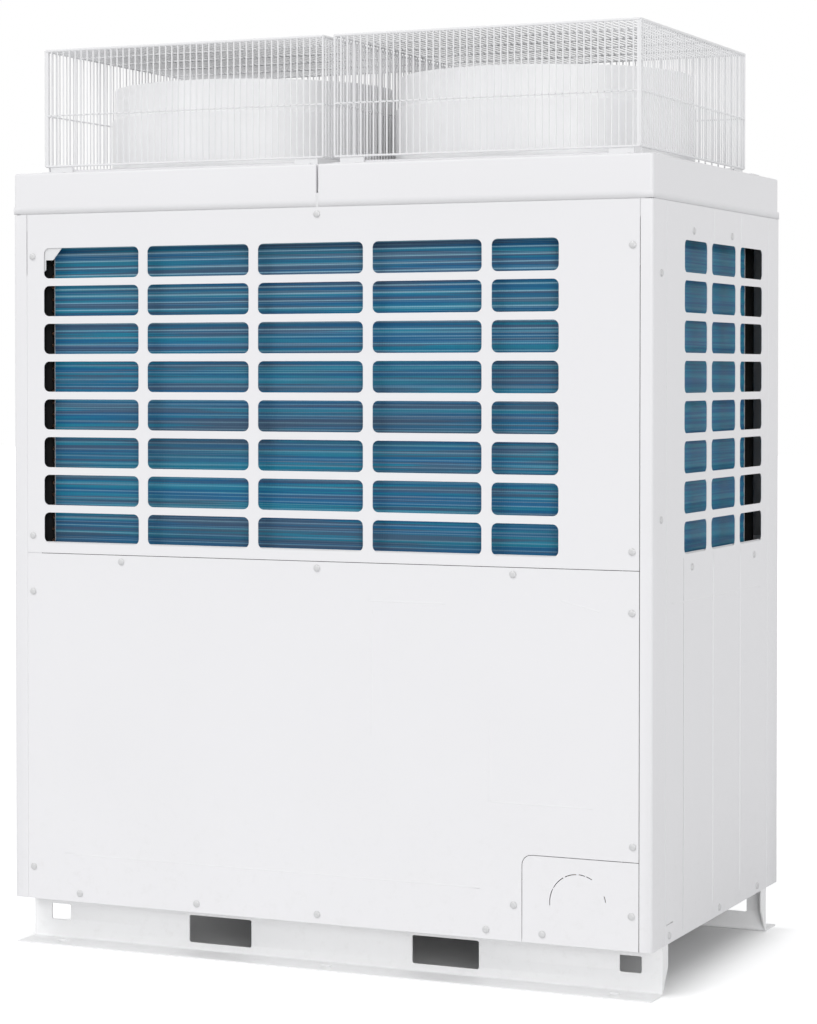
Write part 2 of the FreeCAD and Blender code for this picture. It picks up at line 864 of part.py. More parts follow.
def motor_rails():
    """Four channels from front to back on the roof frame, two under each motor."""
    end = back - 2 * sheet - seam
    half = rail_width / 2
    line = [(half, 0), (half, rail_height), (-half, rail_height), (-half, 0)]
    rails = []
    for side in (-1, 1):
        for offset in (-rail_spacing / 2, rail_spacing / 2):
            rail = upright(folded(line, rail_sheet), -end, end)
            rail.translate(V(side * fan_x + offset, 0, rail_z))
            rails.append(rail)
    return Part.makeCompound(rails)


# Coils

def front_coil():
    """The finned slab behind the front, bent round the right front corner."""
    y0 = front + coil_gap
    x1 = right - coil_gap
    line = [(left + coil_free_end, y0), (x1, y0), (x1, y0 + coil_side_length)]
    return flat(folded(line, coil_depth, coil_bend), coil_z, coil_top)


def coil_headers():
    """The upright tubes beside the two ends of each coil."""
    middle = coil_gap + coil_depth / 2
    reach = header_radius + header_gap
    places = [(left + coil_free_end - reach, front + middle),
              (right - middle, front + coil_gap + coil_side_length + reach)]
    pair = [tube([(x, y, coil_z), (x, y, coil_top)], header_radius) for x, y in places]
    return Part.makeCompound(pair + [turned(header) for header in pair])


# Machine space

def compressor():
    """A scroll compressor: welded case with domed ends on a square foot plate."""
    low = compressor_z + compressor_foot_sheet
    r = compressor_radius
    profile = [(r, low), (r, compressor_top - dome_height), (r * crown_share, compressor_top)]
    reach = compressor_foot / 2
    plate = cut_rectangle(compressor_x - reach, compressor_x + reach, compressor_y - reach,
                          compressor_y + reach, compressor_foot_corner)
    return join([stack(profile, case_sides, compressor_x, compressor_y), flat(plate, compressor_z, low)])


def compressor_pads():
    """The rubber pads under the corners of the foot plate."""
    half = pad_size / 2
    pads = []
    for x in (compressor_x - pad_spacing / 2, compressor_x + pad_spacing / 2):
        for y in (compressor_y - pad_spacing / 2, compressor_y + pad_spacing / 2):
            pads.append(box(x - half, x + half, y - half, y + half, floor_z, compressor_z))
    return Part.makeCompound(pads)


def vessel(x, y, radius, height):
    """A welded pressure vessel with domed ends on a ring stand."""
    low = floor_z + stand_height
    top = floor_z + height
    stand = radius * stand_share
    profile = [(stand, floor_z), (stand, low), (radius, low + dome_height), (radius, top - dome_height),
               (radius * crown_share, top)]
    return stack(profile, case_sides, x, y)


def four_way_valve():
    """The reversing valve, a lying block that the pipes meet from above and below."""
    y, z = reversing_depth / 2, reversing_height / 2
    section = cut_rectangle(reversing_y - y, reversing_y + y, reversing_z - z, reversing_z + z,
                            reversing_corner)
    return sideways(section, reversing_x - reversing_length / 2, reversing_x + reversing_length / 2)


def discharge_pipe():
    port = reversing_z + reversing_height / 2
    over = compressor_top + pipe_over
    return tube([(compressor_x, compressor_y, compressor_top), (compressor_x, compressor_y, over),
                 (reversing_x, reversing_y, over), (reversing_x, reversing_y, port)], discharge_radius)


def suction_pipe():
    port = reversing_z - reversing_height / 2
    under = port - pipe_under
    top = floor_z + accumulator_height
    return tube([(reversing_x, reversing_y, port), (reversing_x, reversing_y, under),
                 (accumulator_x, accumulator_y, under), (accumulator_x, accumulator_y, top)], suction_radius)


def gas_pipe():
    port = reversing_z - reversing_height / 2
    z = shelf_z + gas_valve_flats / 2
    return tube([(gas_x, reversing_y, port), (gas_x, reversing_y, z), (gas_x, bracket_y, z)], gas_radius)


def liquid_pipe():
    z = shelf_z + liquid_valve_flats / 2
    return tube([(liquid_x, liquid_y, deck_z), (liquid_x, liquid_y, z), (liquid_x, bracket_y, z)],
                liquid_radius)


def valve_bracket():
    """The folded plate on the base pan, with the shelf that both service valves lie on."""
    s = bracket_sheet
    line = [(bracket_y + bracket_foot, floor_z + s), (bracket_y + s, floor_z + s), (bracket_y + s, shelf_z),
            (bracket_y - shelf_depth, shelf_z)]
    return sideways(folded(line, s), gas_x - bracket_margin, liquid_x + bracket_margin)


def service_valve(x, flats, pipe_radius):
    """A brass valve: six-sided body, connection stub to the front and a bonnet bored for its stem."""
    z = shelf_z + flats / 2
    front_face = bracket_y - valve_length
    body = hexagon(flats, valve_length)
    body.rotate(V(0, 0, 0), V(1, 0, 0), 90)
    body.translate(V(x, bracket_y, z))
    stub = tube([(x, front_face, z), (x, front_face - stub_length, z)], pipe_radius + stub_wall)
    y = bracket_y - valve_length / 2
    bonnet = hexagon(bonnet_flats, bonnet_height)
    bonnet.translate(V(x, y, z + flats / 2))
    top = z + flats / 2 + bonnet_height
    bore = rod(stem_radius + shaft_clearance, z + flats / 2, top + past, x, y)
    return join([body, stub, bonnet]).cut(bore)


def valve_stem(x, flats):
    """The stem that turns the ball, with a square end for a wrench."""
    y = bracket_y - valve_length / 2
    low = shelf_z + flats + stem_clearance
    neck = low + bonnet_height
    half = stem_square / 2
    square = box(x - half, x + half, y - half, y + half, neck, neck + stem_out)
    return join([rod(stem_radius, low, neck, x, y), square])


# Electrical box

def box_edges():
    """Left, right, front, lower and upper edge of the electrical box."""
    x0 = left + box_left
    return x0, x0 + box_width, front + box_front, deck_z - box_height, deck_z


def control_box():
    """A folded box that hangs under the deck behind the lower front panel, open to the front."""
    x0, x1, y0, z0, z1 = box_edges()
    y1 = y0 + box_depth
    s = box_sheet
    return box(x0, x1, y0, y1, z0, z1).cut(box(x0 + s, x1 - s, y0 - past, y1 - s, z0 + s, z1 - s))


def control_box_cover():
    """The lid of the electrical box, with a lip that fits inside it."""
    x0, x1, y0, z0, z1 = box_edges()
    s, t = box_sheet, 2 * box_sheet
    plate = box(x0, x1, y0 - s, y0, z0, z1)
    lip = box(x0 + s, x1 - s, y0, y0 + box_lip, z0 + s, z1 - s)
    hollow = box(x0 + t, x1 - t, y0, y0 + box_lip, z0 + t, z1 - t)
    return join([plate, lip.cut(hollow)])


# Screws

def screw_at(x, y, z, normal):
    """A hexagon head that bears on the sheet at x, y, z and stands out along normal."""
    head = hexagon(screw_flats, screw_head)
    head.Placement = FreeCAD.Placement(V(x, y, z), FreeCAD.Rotation(V(0, 0, 1), normal))
    return head


def panel_screws():
    edge = post_x - screw_inset
    heights = (panel_bottom + low_screw_rise, seam_mid - seam_screw_drop, seam_mid + seam_screw_rise,
               seam_top - high_screw_drop)
    corners = [(side * edge, z) for side in (-1, 1) for z in heights]
    bottom_z = panel_bottom + bottom_screw_rise
    bottoms = [inset - post_x for inset in left_bottom_screws]
    bottoms += [0, notch_x - right_bottom_screw, notch_x + pipe_cover_screw]
    deck_x = (deck_screw_from_posts[0] - post_x, 0, post_x - deck_screw_from_posts[1])
    fronts = corners + [(x, bottom_z) for x in bottoms] + [(x, seam_mid - deck_screw_drop) for x in deck_x]
    fronts.append((0, seam_top - top_screw_drop))
    fronts.append((notch_x - pipe_cover_side_screw[0], panel_bottom + pipe_cover_side_screw[1]))
    fronts.append((post_x - pipe_cover_top_screw[0], notch_z + pipe_cover_top_screw[1]))
    sides = [(side_post_screw, seam_top - drop) for drop in side_post_screw_drops]
    sides += [(y, seam_top - side_top_screw_drop) for y in side_top_screws]
    sides += [(y, seam_mid - side_deck_screw_drop) for y in side_deck_screws]
    sides += [(y, panel_bottom + side_bottom_screw_rise) for y in side_bottom_screws]
    heads = [screw_at(x, front, z, V(0, -1, 0)) for x, z in fronts]
    heads += [screw_at(x, back, z, V(0, 1, 0)) for x, z in corners]
    flanks = [screw_at(right, front + y, z, V(1, 0, 0)) for y, z in sides]
    return Part.makeCompound(heads + flanks + [turned(head) for head in flanks])


def build():
    """Every piece by the name of its node."""
    pieces = {
        "front_leg": front_leg(),
        "rear_leg": turned(front_leg()),
        "base_pan": base_pan(),
        "deck": deck(),
        "roof_frame": roof_frame(),
        "front_upper_panel": front_upper_panel(),
        "front_lower_panel": front_lower_panel(),
        "pipe_cover": pipe_cover(),
        "right_side_panel": right_side_panel(),
        "left_side_panel": left_side_panel(),
        "left_guard": left_guard(),
        "back_panel": back_panel(),
        "back_guard": back_guard(),
        "left_cover": mirrored(right_cover()),
        "right_cover": right_cover(),
        "left_shroud": shroud(-fan_x),
        "right_shroud": shroud(fan_x),
        "cage_feet": cage_feet(),
        "motor_rails": motor_rails(),
        "left_fan_motor": fan_motor(-fan_x),
        "right_fan_motor": fan_motor(fan_x),
        "left_fan": fan(-fan_x),
        "right_fan": fan(fan_x),
        "left_fan_shaft": fan_shaft(-fan_x),
        "right_fan_shaft": fan_shaft(fan_x),
        "front_coil": front_coil(),
        "back_coil": turned(front_coil()),
        "coil_headers": coil_headers(),
        "compressor": compressor(),
        "compressor_pads": compressor_pads(),
        "accumulator": vessel(accumulator_x, accumulator_y, accumulator_radius, accumulator_height),
        "oil_separator": vessel(separator_x, separator_y, separator_radius, separator_height),
        "four_way_valve": four_way_valve(),
        "discharge_pipe": discharge_pipe(),
        "suction_pipe": suction_pipe(),
        "gas_pipe": gas_pipe(),
        "liquid_pipe": liquid_pipe(),
        "valve_bracket": valve_bracket(),
        "gas_valve": service_valve(gas_x, gas_valve_flats, gas_radius),
        "liquid_valve": service_valve(liquid_x, liquid_valve_flats, liquid_radius),
        "gas_valve_stem": valve_stem(gas_x, gas_valve_flats),
        "liquid_valve_stem": valve_stem(liquid_x, liquid_valve_flats),
        "control_box": control_box(),
        "control_box_cover": control_box_cover(),
        "panel_screws": panel_screws(),
    }
    post = corner_post()
    pieces["front_right_post"] = post
    pieces["front_left_post"] = mirrored(post)
    pieces["rear_left_post"] = turned(post)
    pieces["rear_right_post"] = turned(mirrored(post))
    pieces.update(cage_walls("left_cage", -cage_side, -cage_gap / 2))
    pieces.update(cage_walls("right_cage", cage_gap / 2, cage_side))
    return pieces


os.makedirs("parts", exist_ok=True)
for node, shape in build().items():
    shape.exportStep("parts/" + node + ".step")
    print(node, "solids", len(shape.Solids), "valid", shape.isValid(), "cm3", round(shape.Volume / 1000, 1))
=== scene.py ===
import bpy
import math
import numpy as np
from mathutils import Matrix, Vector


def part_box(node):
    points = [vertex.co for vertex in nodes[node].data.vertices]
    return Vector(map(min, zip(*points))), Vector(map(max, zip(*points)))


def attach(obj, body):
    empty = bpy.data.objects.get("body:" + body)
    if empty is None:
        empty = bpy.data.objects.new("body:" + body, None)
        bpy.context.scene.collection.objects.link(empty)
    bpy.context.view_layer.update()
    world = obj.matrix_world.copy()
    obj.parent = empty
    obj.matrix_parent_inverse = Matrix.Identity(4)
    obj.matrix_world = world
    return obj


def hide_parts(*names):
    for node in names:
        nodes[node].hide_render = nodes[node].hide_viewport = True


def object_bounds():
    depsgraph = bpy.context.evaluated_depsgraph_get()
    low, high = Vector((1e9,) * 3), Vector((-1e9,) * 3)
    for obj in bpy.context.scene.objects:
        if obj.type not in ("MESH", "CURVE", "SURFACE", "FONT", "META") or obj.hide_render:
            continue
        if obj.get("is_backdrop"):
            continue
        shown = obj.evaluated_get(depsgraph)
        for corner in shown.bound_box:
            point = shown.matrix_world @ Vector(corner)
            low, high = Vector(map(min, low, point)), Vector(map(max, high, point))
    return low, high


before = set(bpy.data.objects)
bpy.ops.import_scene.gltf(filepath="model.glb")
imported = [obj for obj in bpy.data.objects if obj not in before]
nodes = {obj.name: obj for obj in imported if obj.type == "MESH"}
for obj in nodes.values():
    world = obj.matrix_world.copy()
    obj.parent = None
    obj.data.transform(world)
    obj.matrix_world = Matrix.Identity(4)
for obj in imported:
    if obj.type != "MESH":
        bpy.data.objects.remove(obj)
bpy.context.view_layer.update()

# White paint. The outer sheets are steel with a baked powder coat: satin white with a fine orange peel, a trace of
# waviness from the rolled sheet, and a little grey dust that settles low down.


def new_material(name):
    """A node material, its tree and its surface shader."""
    material = bpy.data.materials.new(name)
    material.use_nodes = True
    return material, material.node_tree, material.node_tree.nodes["Principled BSDF"]


def feed(tree, socket, value):
    """Sets an input, or links it to the socket that drives it. A colour is given as red, green and blue."""
    if isinstance(value, bpy.types.NodeSocket):
        tree.links.new(value, socket)
    else:
        socket.default_value = (*value, 1.0) if socket.type == "RGBA" else value


def add_node(tree, kind, settings=None, inputs=None):
    """Adds a node, sets its options and feeds its inputs, which are named or numbered."""
    node = tree.nodes.new(kind)
    for option, value in (settings or {}).items():
        setattr(node, option, value)
    for label, value in (inputs or {}).items():
        feed(tree, node.inputs[label], value)
    return node


def new_group(name, inputs, *outputs):
    """A shader node group with named inputs and their first values, where three numbers are a colour. Its outputs
    are values apart from "Colour"."""
    group = bpy.data.node_groups.new(name, "ShaderNodeTree")
    for label, value in inputs.items():
        kind, first = ("NodeSocketColor", (*value, 1.0)) if isinstance(value, tuple) else ("NodeSocketFloat", value)
        group.interface.new_socket(label, in_out="INPUT", socket_type=kind).default_value = first
    for label in outputs:
        kind = "NodeSocketColor" if label == "Colour" else "NodeSocketFloat"
        group.interface.new_socket(label, in_out="OUTPUT", socket_type=kind)
    return group, group.nodes.new("NodeGroupInput").outputs, group.nodes.new("NodeGroupOutput")


def combine(tree, operation, a, b=0.0):
    """One step of arithmetic on values."""
    return add_node(tree, "ShaderNodeMath", {"operation": operation}, {0: a, 1: b}).outputs[0]


def times(tree, a, b):
    return combine(tree, "MULTIPLY", a, b)


def plus(tree, a, b):
    return combine(tree, "ADD", a, b)


def object_place(tree):
    """The place of a point in its object's own axes."""
    return add_node(tree, "ShaderNodeTexCoord").outputs["Object"]


def blend_colours(tree, share, a, b):
    return add_node(tree, "ShaderNodeMix", {"data_type": "RGBA"}, {0: share, 6: a, 7: b}).outputs[2]


def soft_step(tree, value, low, high):
    """Maps a value smoothly from between low and high to between 0 and 1."""
    return add_node(tree, "ShaderNodeMapRange", {"interpolation_type": "SMOOTHSTEP"},
                    {"Value": value, "From Min": low, "From Max": high}).outputs[0]


def set_inputs(tree, node, **values):
    """Feeds a node's inputs by name. An underscore stands for a space."""
    for label, value in values.items():
        feed(tree, node.inputs[label.replace("_", " ")], value)


def add_bump(tree, surface, height, strength, distance):
    """Lets a height tilt the surface's normal."""
    bump = add_node(tree, "ShaderNodeBump", None, {"Strength": strength, "Distance": distance, "Height": height})
    feed(tree, surface.inputs["Normal"], bump.outputs[0])


def wear_group(name, group, **inputs):
    """A material whose colour and roughness come from a group with these inputs, and its bump if it has a height."""
    material, tree, surface = new_material(name)
    skin = add_node(tree, "ShaderNodeGroup", {"node_tree": group}, inputs).outputs
    set_inputs(tree, surface, Base_Color=skin["Colour"], Roughness=skin["Roughness"])
    if "Height" in skin:
        add_bump(tree, surface, skin["Height"], 0.6, 1.0)
    return material, tree, surface


def cloud(tree, place, scale, detail=2.0, rough=0.5):
    """A noise value about 0.5, with so many of its blobs in a metre."""
    return add_node(tree, "ShaderNodeTexNoise", None,
                    {"Vector": place, "Scale": scale, "Detail": detail, "Roughness": rough}).outputs[0]


coat, given, put = new_group(
    "powder coat", {"Paint": (0.8, 0.8, 0.8), "Dust Colour": (0.52, 0.51, 0.48), "Dust": 0.3, "Gloss Drift": 0.1},
    "Colour", "Roughness", "Height")
place = object_place(coat)
height_up = add_node(coat, "ShaderNodeSeparateXYZ", None, {0: place}).outputs[2]
peel = cloud(coat, place, 620.0, 1.0)
waves = cloud(coat, place, 5.5, 1.0)
specks = cloud(coat, place, 55.0, 5.0, 0.7)
low_down = combine(coat, "SUBTRACT", 1.0, soft_step(coat, height_up, 0.0, 0.45))
dusty = times(coat, times(coat, soft_step(coat, specks, 0.5, 0.8), low_down), given["Dust"])
mottled = times(coat, soft_step(coat, cloud(coat, place, 2.3, 3.0), 0.35, 0.7), 0.03)
paint = blend_colours(coat, mottled, given["Paint"], given["Dust Colour"])
set_inputs(coat, put, Colour=blend_colours(coat, dusty, paint, given["Dust Colour"]),
           Roughness=plus(coat, 0.36, times(coat, specks, given["Gloss Drift"])),
           Height=plus(coat, times(coat, peel, 0.00004), times(coat, waves, 0.0005)))


def painted(name, colour, dust):
    """A powder coated material of one colour, with so much dust."""
    material, tree, surface = wear_group(name, coat, Paint=colour, Dust=dust)
    set_inputs(tree, surface, Specular_IOR_Level=0.4)
    return material


white_paint = painted("white powder coat", (0.79, 0.785, 0.80), 0.15)
# The grey of the back coat is partly painted shade: it darkens the inner faces that are seen through the openings.
back_coat_and_shade = painted("thin grey back coat and painted shade", (0.38, 0.38, 0.385), 0.3)

# Upper front panel. One 1.2 mm sheet, punched with eight rows of rounded openings in front of the coil, painted white
# outside and with a thin grey coat inside, whose grey is partly painted shade, and screwed to the tongues of the
# corner posts.
sheet_thickness = 0.0012
edge_rounding = 0.0003
corner_steps = 6
tiny = 1e-6
column_starts = (-0.5555, -0.3389, -0.1158, 0.1073, 0.3304)
column_widths = (0.198, 0.2046, 0.2046, 0.2046, 0.122)
left_margin = 0.0055
row_pitch = 0.0693
row_tops = 1.284 - row_pitch * np.arange(8)
row_height = 0.0554
opening_radius = 0.0105


def corner_lines(low, high, radius):
    """Grid lines of an opening: at each end the places radius * (1 - cosine) of a quarter turn, so that the arcs of
    its corners run through grid points."""
    ends = radius * (1 - np.cos(np.linspace(0, math.pi / 2, corner_steps + 1)))
    return np.concatenate([low + ends, high - ends])


def grid_faces(count_u, count_v):
    """Quads of a grid of points, numbered along v first."""
    index = np.arange(count_u * count_v).reshape(count_u, count_v)
    return np.stack([index[:-1, :-1], index[1:, :-1], index[1:, 1:], index[:-1, 1:]], axis=-1)


def pierced_grid(u_lines, v_lines, openings):
    """Points and faces of a flat sheet on lines u and v, without its openings, given as u0, u1, v0, v1, radius. Near
    a corner the cells are counted from both sides of the opening. Where the counts add up to one less than the
    steps of its arc, the arc crosses the cell and leaves a triangle, and where they add up to more, it is gone."""
    cuts_u = [corner_lines(o[0], o[1], o[4]) for o in openings]
    cuts_v = [corner_lines(o[2], o[3], o[4]) for o in openings]
    u = np.unique(np.round(np.concatenate([u_lines] + cuts_u), 7))
    v = np.unique(np.round(np.concatenate([v_lines] + cuts_v), 7))
    cells = grid_faces(len(u), len(v))
    i, j = np.meshgrid(np.arange(len(u) - 1), np.arange(len(v) - 1), indexing="ij")
    keep = np.ones(i.shape, bool)
    cut_cells = [np.zeros((0, 3), int)]
    for u0, u1, v0, v1, radius in openings:
        a0, a1 = np.searchsorted(u, [u0 - tiny, u1 - tiny])
        b0, b1 = np.searchsorted(v, [v0 - tiny, v1 - tiny])
        from_u = np.minimum(i - a0, a1 - 1 - i)
        from_v = np.minimum(j - b0, b1 - 1 - j)
        count = np.where((from_u >= 0) & (from_v >= 0), from_u + from_v, -1)
        keep &= count < corner_steps - 1
        for near_u, near_v, gone in ((True, True, 2), (False, True, 3), (False, False, 0), (True, False, 1)):
            crossed = ((count == corner_steps - 1) & ((i - a0 < a1 - 1 - i + 1) == near_u)
                       & ((j - b0 < b1 - 1 - j + 1) == near_v))
            cut_cells.append(np.delete(cells[crossed], gone, axis=1))
    flat_u, flat_v = np.meshgrid(u, v, indexing="ij")
    return flat_u.ravel(), flat_v.ravel(), cells[keep], np.concatenate(cut_cells)


def add_object(name, data):
    """A new object in the scene."""
    thing = bpy.data.objects.new(name, data)
    bpy.context.scene.collection.objects.link(thing)
    return thing


def make_piece(name, points, faces, material, smooth=False):
    """A mesh object from an array of points and arrays of corner numbers, without the points that no face uses. In a
    smooth piece, faces square to an axis stay flat, because they are its plain sides."""
    points = np.asarray(points, float).reshape(-1, 3)
    used = np.zeros(len(points), bool)
    used[np.concatenate([np.ravel(group) for group in faces])] = True
    number = np.cumsum(used) - 1
    mesh = bpy.data.meshes.new(name)
    mesh.from_pydata(points[used].tolist(), [], [face for group in faces for face in number[group].tolist()])
    mesh.materials.append(material)
    if smooth:
        plain = [np.ptp(points[np.asarray(group)], axis=1).min(axis=1) < 1e-7 for group in faces]
        mesh.polygons.foreach_set("use_smooth", ~np.concatenate(plain))
        mesh.set_sharp_from_angle(angle=math.radians(40))
    return add_object(name, mesh)


def round_edges(piece, width):
    """Rounds the sharp edges of a piece."""
    edges = piece.modifiers.new("rounded edges", "BEVEL")
    edges.width = width
    edges.segments = 2
    edges.limit_method = "ANGLE"
    edges.angle_limit = math.radians(50)
    edges.use_clamp_overlap = False


def thicken(piece, thickness, back=None, rounding=edge_rounding):
    """Gives a sheet its wall, away from the side that it faces, with a coat of its own on the back, and rounds its
    edges a little."""
    wall = piece.modifiers.new("wall", "SOLIDIFY")
    wall.thickness = thickness
    wall.offset = -1
    wall.use_even_offset = True
    if back:
        piece.data.materials.append(back)
        wall.material_offset = 1
    round_edges(piece, rounding)


def fit(piece, body, slot, *replaced):
    """Hands a finished piece to its body, in place of the nodes that it stands for. The slot is not used."""
    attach(piece, body)
    if replaced:
        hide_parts(*replaced)


def grille(starts, widths):
    """The openings of columns that start at these places, in all the rows."""
    return [(start, start + wide, top - row_height, top, opening_radius)
            for start, wide in zip(starts, widths) for top in row_tops]


def cabinet_sheet(name, node, grid, stand):
    """A painted sheet in place of a node. Its flat grid of u and v is stood up on a face of the cabinet."""
    u, v, quads, corners = grid
    sheet = make_piece(name, np.stack(np.broadcast_arrays(*stand(u, v)), axis=1), [quads, corners], white_paint)
    thicken(sheet, sheet_thickness, back_coat_and_shade)
    fit(sheet, "cabinet", "cabinet_paint", node)


low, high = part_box("front_upper_panel")
cabinet_sheet("upper_front_panel", "front_upper_panel",
              pierced_grid([low.x + left_margin, high.x], [low.z, high.z], grille(column_starts, column_widths)),
              lambda u, v: (u, low.y, v))

# Lower front panel. The same painted sheet, cut out at its lower right corner for the pipe cover. Its upper edge is
# folded back under the deck. Stiffeners spot welded behind it show through as faint creases. A strip of black foam
# tape behind the seam above it is painted shade that darkens the seam.
notch_radius = 0.018
notch_gap = 0.001
beyond = 0.05
crease_width = 0.0035
crease_height = 0.00035
crease_lines = (((-0.513, 0.172), (0.310, 0.172)), ((0.326, 0.461), (0.326, 0.321)), ((0.326, 0.321), (0.514, 0.321)),
                ((0.106, 0.642), (0.106, 0.424)), ((0.099, 0.658), (0.244, 0.658)), ((0.455, 0.671), (0.527, 0.653)))


def tube_faces(rings, count):
    """Quads of a tube through rings of so many points each, numbered ring by ring."""
    i, k = np.meshgrid(np.arange(rings - 1), np.arange(count), indexing="ij")
    after = (k + 1) % count
    return np.stack([i * count + k, i * count + after, (i + 1) * count + after, (i + 1) * count + k],
                    axis=-1).reshape(-1, 4)


def tube_caps(rings, count):
    """The two end faces of such a tube."""
    return [np.arange(count)[::-1][None], np.arange(count)[None] + (rings - 1) * count]


def pressed_lines(name, lines, width, height, out, material):
    """Low ridges on a flat sheet, one along each line. The section of a ridge is height * (1 - a^2)^2 for a from -1
    to 1 across its width, it is closed just under the sheet's face, and it fades out at both ends."""
    lines = np.asarray(lines, float)
    out = np.asarray(out, float)
    start, end = lines[:, 0], lines[:, 1]
    along = (end - start) / np.linalg.norm(end - start, axis=1, keepdims=True)
    across = np.cross(along, out)
    share = np.array([0.0, 0.03, 0.08, 0.92, 0.97, 1.0])
    fade = np.array([0.0, 0.5, 1.0, 1.0, 0.5, 0.0])
    a = np.concatenate([np.linspace(1, -1, 9), [-1, 1]])
    lift = np.concatenate([(1 - a[:9] ** 2) ** 2, [-0.25, -0.25]])
    spine = start[:, None] + share[None, :, None] * (end - start)[:, None]
    points = (spine[:, :, None] + (a * width / 2)[None, None, :, None] * across[:, None, None]
              + ((np.where(lift > 0, fade[:, None] * lift, lift)) * height)[None, :, :, None] * out)
    count = len(a)
    starts = np.arange(len(lines))[:, None] * (len(share) * count)
    quads = (tube_faces(len(share), count)[None] + starts[:, :, None]).reshape(-1, 4)
    near, far = tube_caps(len(share), count)
    return make_piece(name, points, [quads, near + starts, far + starts], material, smooth=True)


low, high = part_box("front_lower_panel")
cover_low, cover_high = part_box("pipe_cover")
notch = (cover_low.x - notch_gap, high.x + beyond, low.z - beyond, cover_high.z + notch_gap, notch_radius)
u, v, quads, corners = pierced_grid([low.x + left_margin, high.x], [low.z, high.z], [notch])
inside = (u < high.x + tiny) & (v > low.z - tiny)
quads, corners = quads[inside[quads].all(axis=1)], corners[inside[corners].all(axis=1)]
cabinet_sheet("lower_front_panel", "front_lower_panel", (u, v, quads, corners), lambda u, v: (u, low.y, v))

creases = pressed_lines("front_creases", [[(a[0], low.y, a[1]), (b[0], low.y, b[1])] for a, b in crease_lines],
                        crease_width, crease_height, (0, -1, 0), white_paint)
fit(creases, "cabinet", "cabinet_paint")

flange_end = 0.566
fold_behind, shade_tape_behind = 0.002, 0.0013
flange = [(-flange_end, low.y + fold_behind, high.z), (flange_end, low.y + fold_behind, high.z),
          (flange_end, high.y, high.z), (-flange_end, high.y, high.z)]
one_quad = [np.array([[0, 1, 2, 3]])]
fold = make_piece("lower_front_fold", flange, one_quad, white_paint)
thicken(fold, sheet_thickness)
fit(fold, "cabinet", "cabinet_paint")

shade_tape_reach, shade_tape_thickness = 0.007, 0.0006
# Black foam that stands in for shade: it darkens the seams and the coil headers.
shade_foam, tree, surface = new_material("black foam tape")
cells = cloud(tree, object_place(tree), 900.0, 3.0, 0.7)
set_inputs(tree, surface, Roughness=0.9, Specular_IOR_Level=0.2,
           Base_Color=blend_colours(tree, cells, (0.008, 0.008, 0.008), (0.020, 0.020, 0.021)))
add_bump(tree, surface, cells, 0.6, 0.0003)
shade_tape_corners = [(x * flange_end, low.y + shade_tape_behind, high.z + z * shade_tape_reach)
                for x, z in ((-1, -1), (1, -1), (1, 1), (-1, 1))]
shade_tape = make_piece("lower_front_shade_tape", shade_tape_corners, one_quad, shade_foam)
thicken(shade_tape, shade_tape_thickness)
fit(shade_tape, "cabinet", "cabinet_paint")

# Pipe cover. A small plate of the same sheet over the pipe connections. A half ring of short slots marks the disc
# that is knocked out for the pipes.
knockout_centre = (0.488, 0.157)
knockout_radius = 0.051
slot_width = 0.0012
slot_spans = ((8, 20), (60, 72), (75, 88), (93, 117), (121, 150), (153, 186))
pipe_cover_radius = 0.017


def arc(centre, radius, start, end, count):
    """Points on a circle about centre, from one angle to the other, in degrees."""
    turns = np.radians(np.linspace(start, end, count))
    return np.stack([centre[0] + radius * np.cos(turns), centre[1] + radius * np.sin(turns)], axis=1)


def filled_plate(name, loops, face_y, thickness, material):
    """A plate that faces -Y, bounded by the first loop of X and Z and pierced by the others: a filled flat curve
    with rounded edges, made a mesh and stood upright with its face on y = face_y."""
    curve = bpy.data.curves.new(name, "CURVE")
    curve.dimensions = "2D"
    curve.fill_mode = "BOTH"
    curve.extrude = thickness / 2 - edge_rounding
    curve.bevel_depth = edge_rounding
    curve.bevel_resolution = 1
    curve.offset = -edge_rounding
    for loop in loops:
        spline = curve.splines.new("POLY")
        spline.points.add(len(loop) - 1)
        spline.points.foreach_set("co", np.column_stack([loop, np.zeros(len(loop)), np.ones(len(loop))]).ravel())
        spline.use_cyclic_u = True
    holder = add_object(name + "_outline", curve)
    bpy.context.view_layer.update()
    mesh = bpy.data.meshes.new_from_object(holder.evaluated_get(bpy.context.evaluated_depsgraph_get()))
    bpy.data.objects.remove(holder)
    flat_points = np.empty(3 * len(mesh.vertices))
    mesh.vertices.foreach_get("co", flat_points)
    x, z, depth = flat_points.reshape(-1, 3).T
    mesh.vertices.foreach_set("co", np.stack([x, face_y + thickness / 2 - depth, z], axis=1).ravel())
    mesh.update()
    mesh.materials.clear()
    mesh.materials.append(material)
    return add_object(name, mesh)


low, high = cover_low, cover_high
outline = np.concatenate([
    [(low.x, low.z), (high.x, low.z), (high.x, high.z)],
    arc((low.x + pipe_cover_radius, high.z - pipe_cover_radius), pipe_cover_radius, 90, 180, 9)])
slots = [np.concatenate([arc(knockout_centre, knockout_radius, a, b, 9),
                         arc(knockout_centre, knockout_radius - slot_width, b, a, 9)]) for a, b in slot_spans]
pipe_plate = filled_plate("pipe_cover_plate", [outline] + slots, low.y, sheet_thickness, white_paint)
fit(pipe_plate, "cabinet", "cabinet_paint", "pipe_cover")

# Right side panel. A painted sheet with three columns of openings beside the front ones, a thin upright cut in line
# with the first of them, two narrow pressed beads that run up to the others, and a short slit low down at the front.
# A stiffener spot welded behind it shows through as a faint crease.
side_starts = (-0.202, -0.0485, 0.121)
side_widths = (0.127, 0.1415, 0.1375)
bead_places = (-0.037, 0.126)
bead_width = 0.0050
bead_height = 0.0013
bead_bottom = 0.096
bead_gap = 0.006
slit = (-0.296, -0.258, 0.118, 0.1196, 0.0007)
lowest_opening = row_tops[-1] - row_height
upright_cut = (-0.2048, -0.2026, bead_bottom, lowest_opening - bead_gap, 0.0003)
side_crease = ((-0.270, 0.662), (0.250, 0.658))

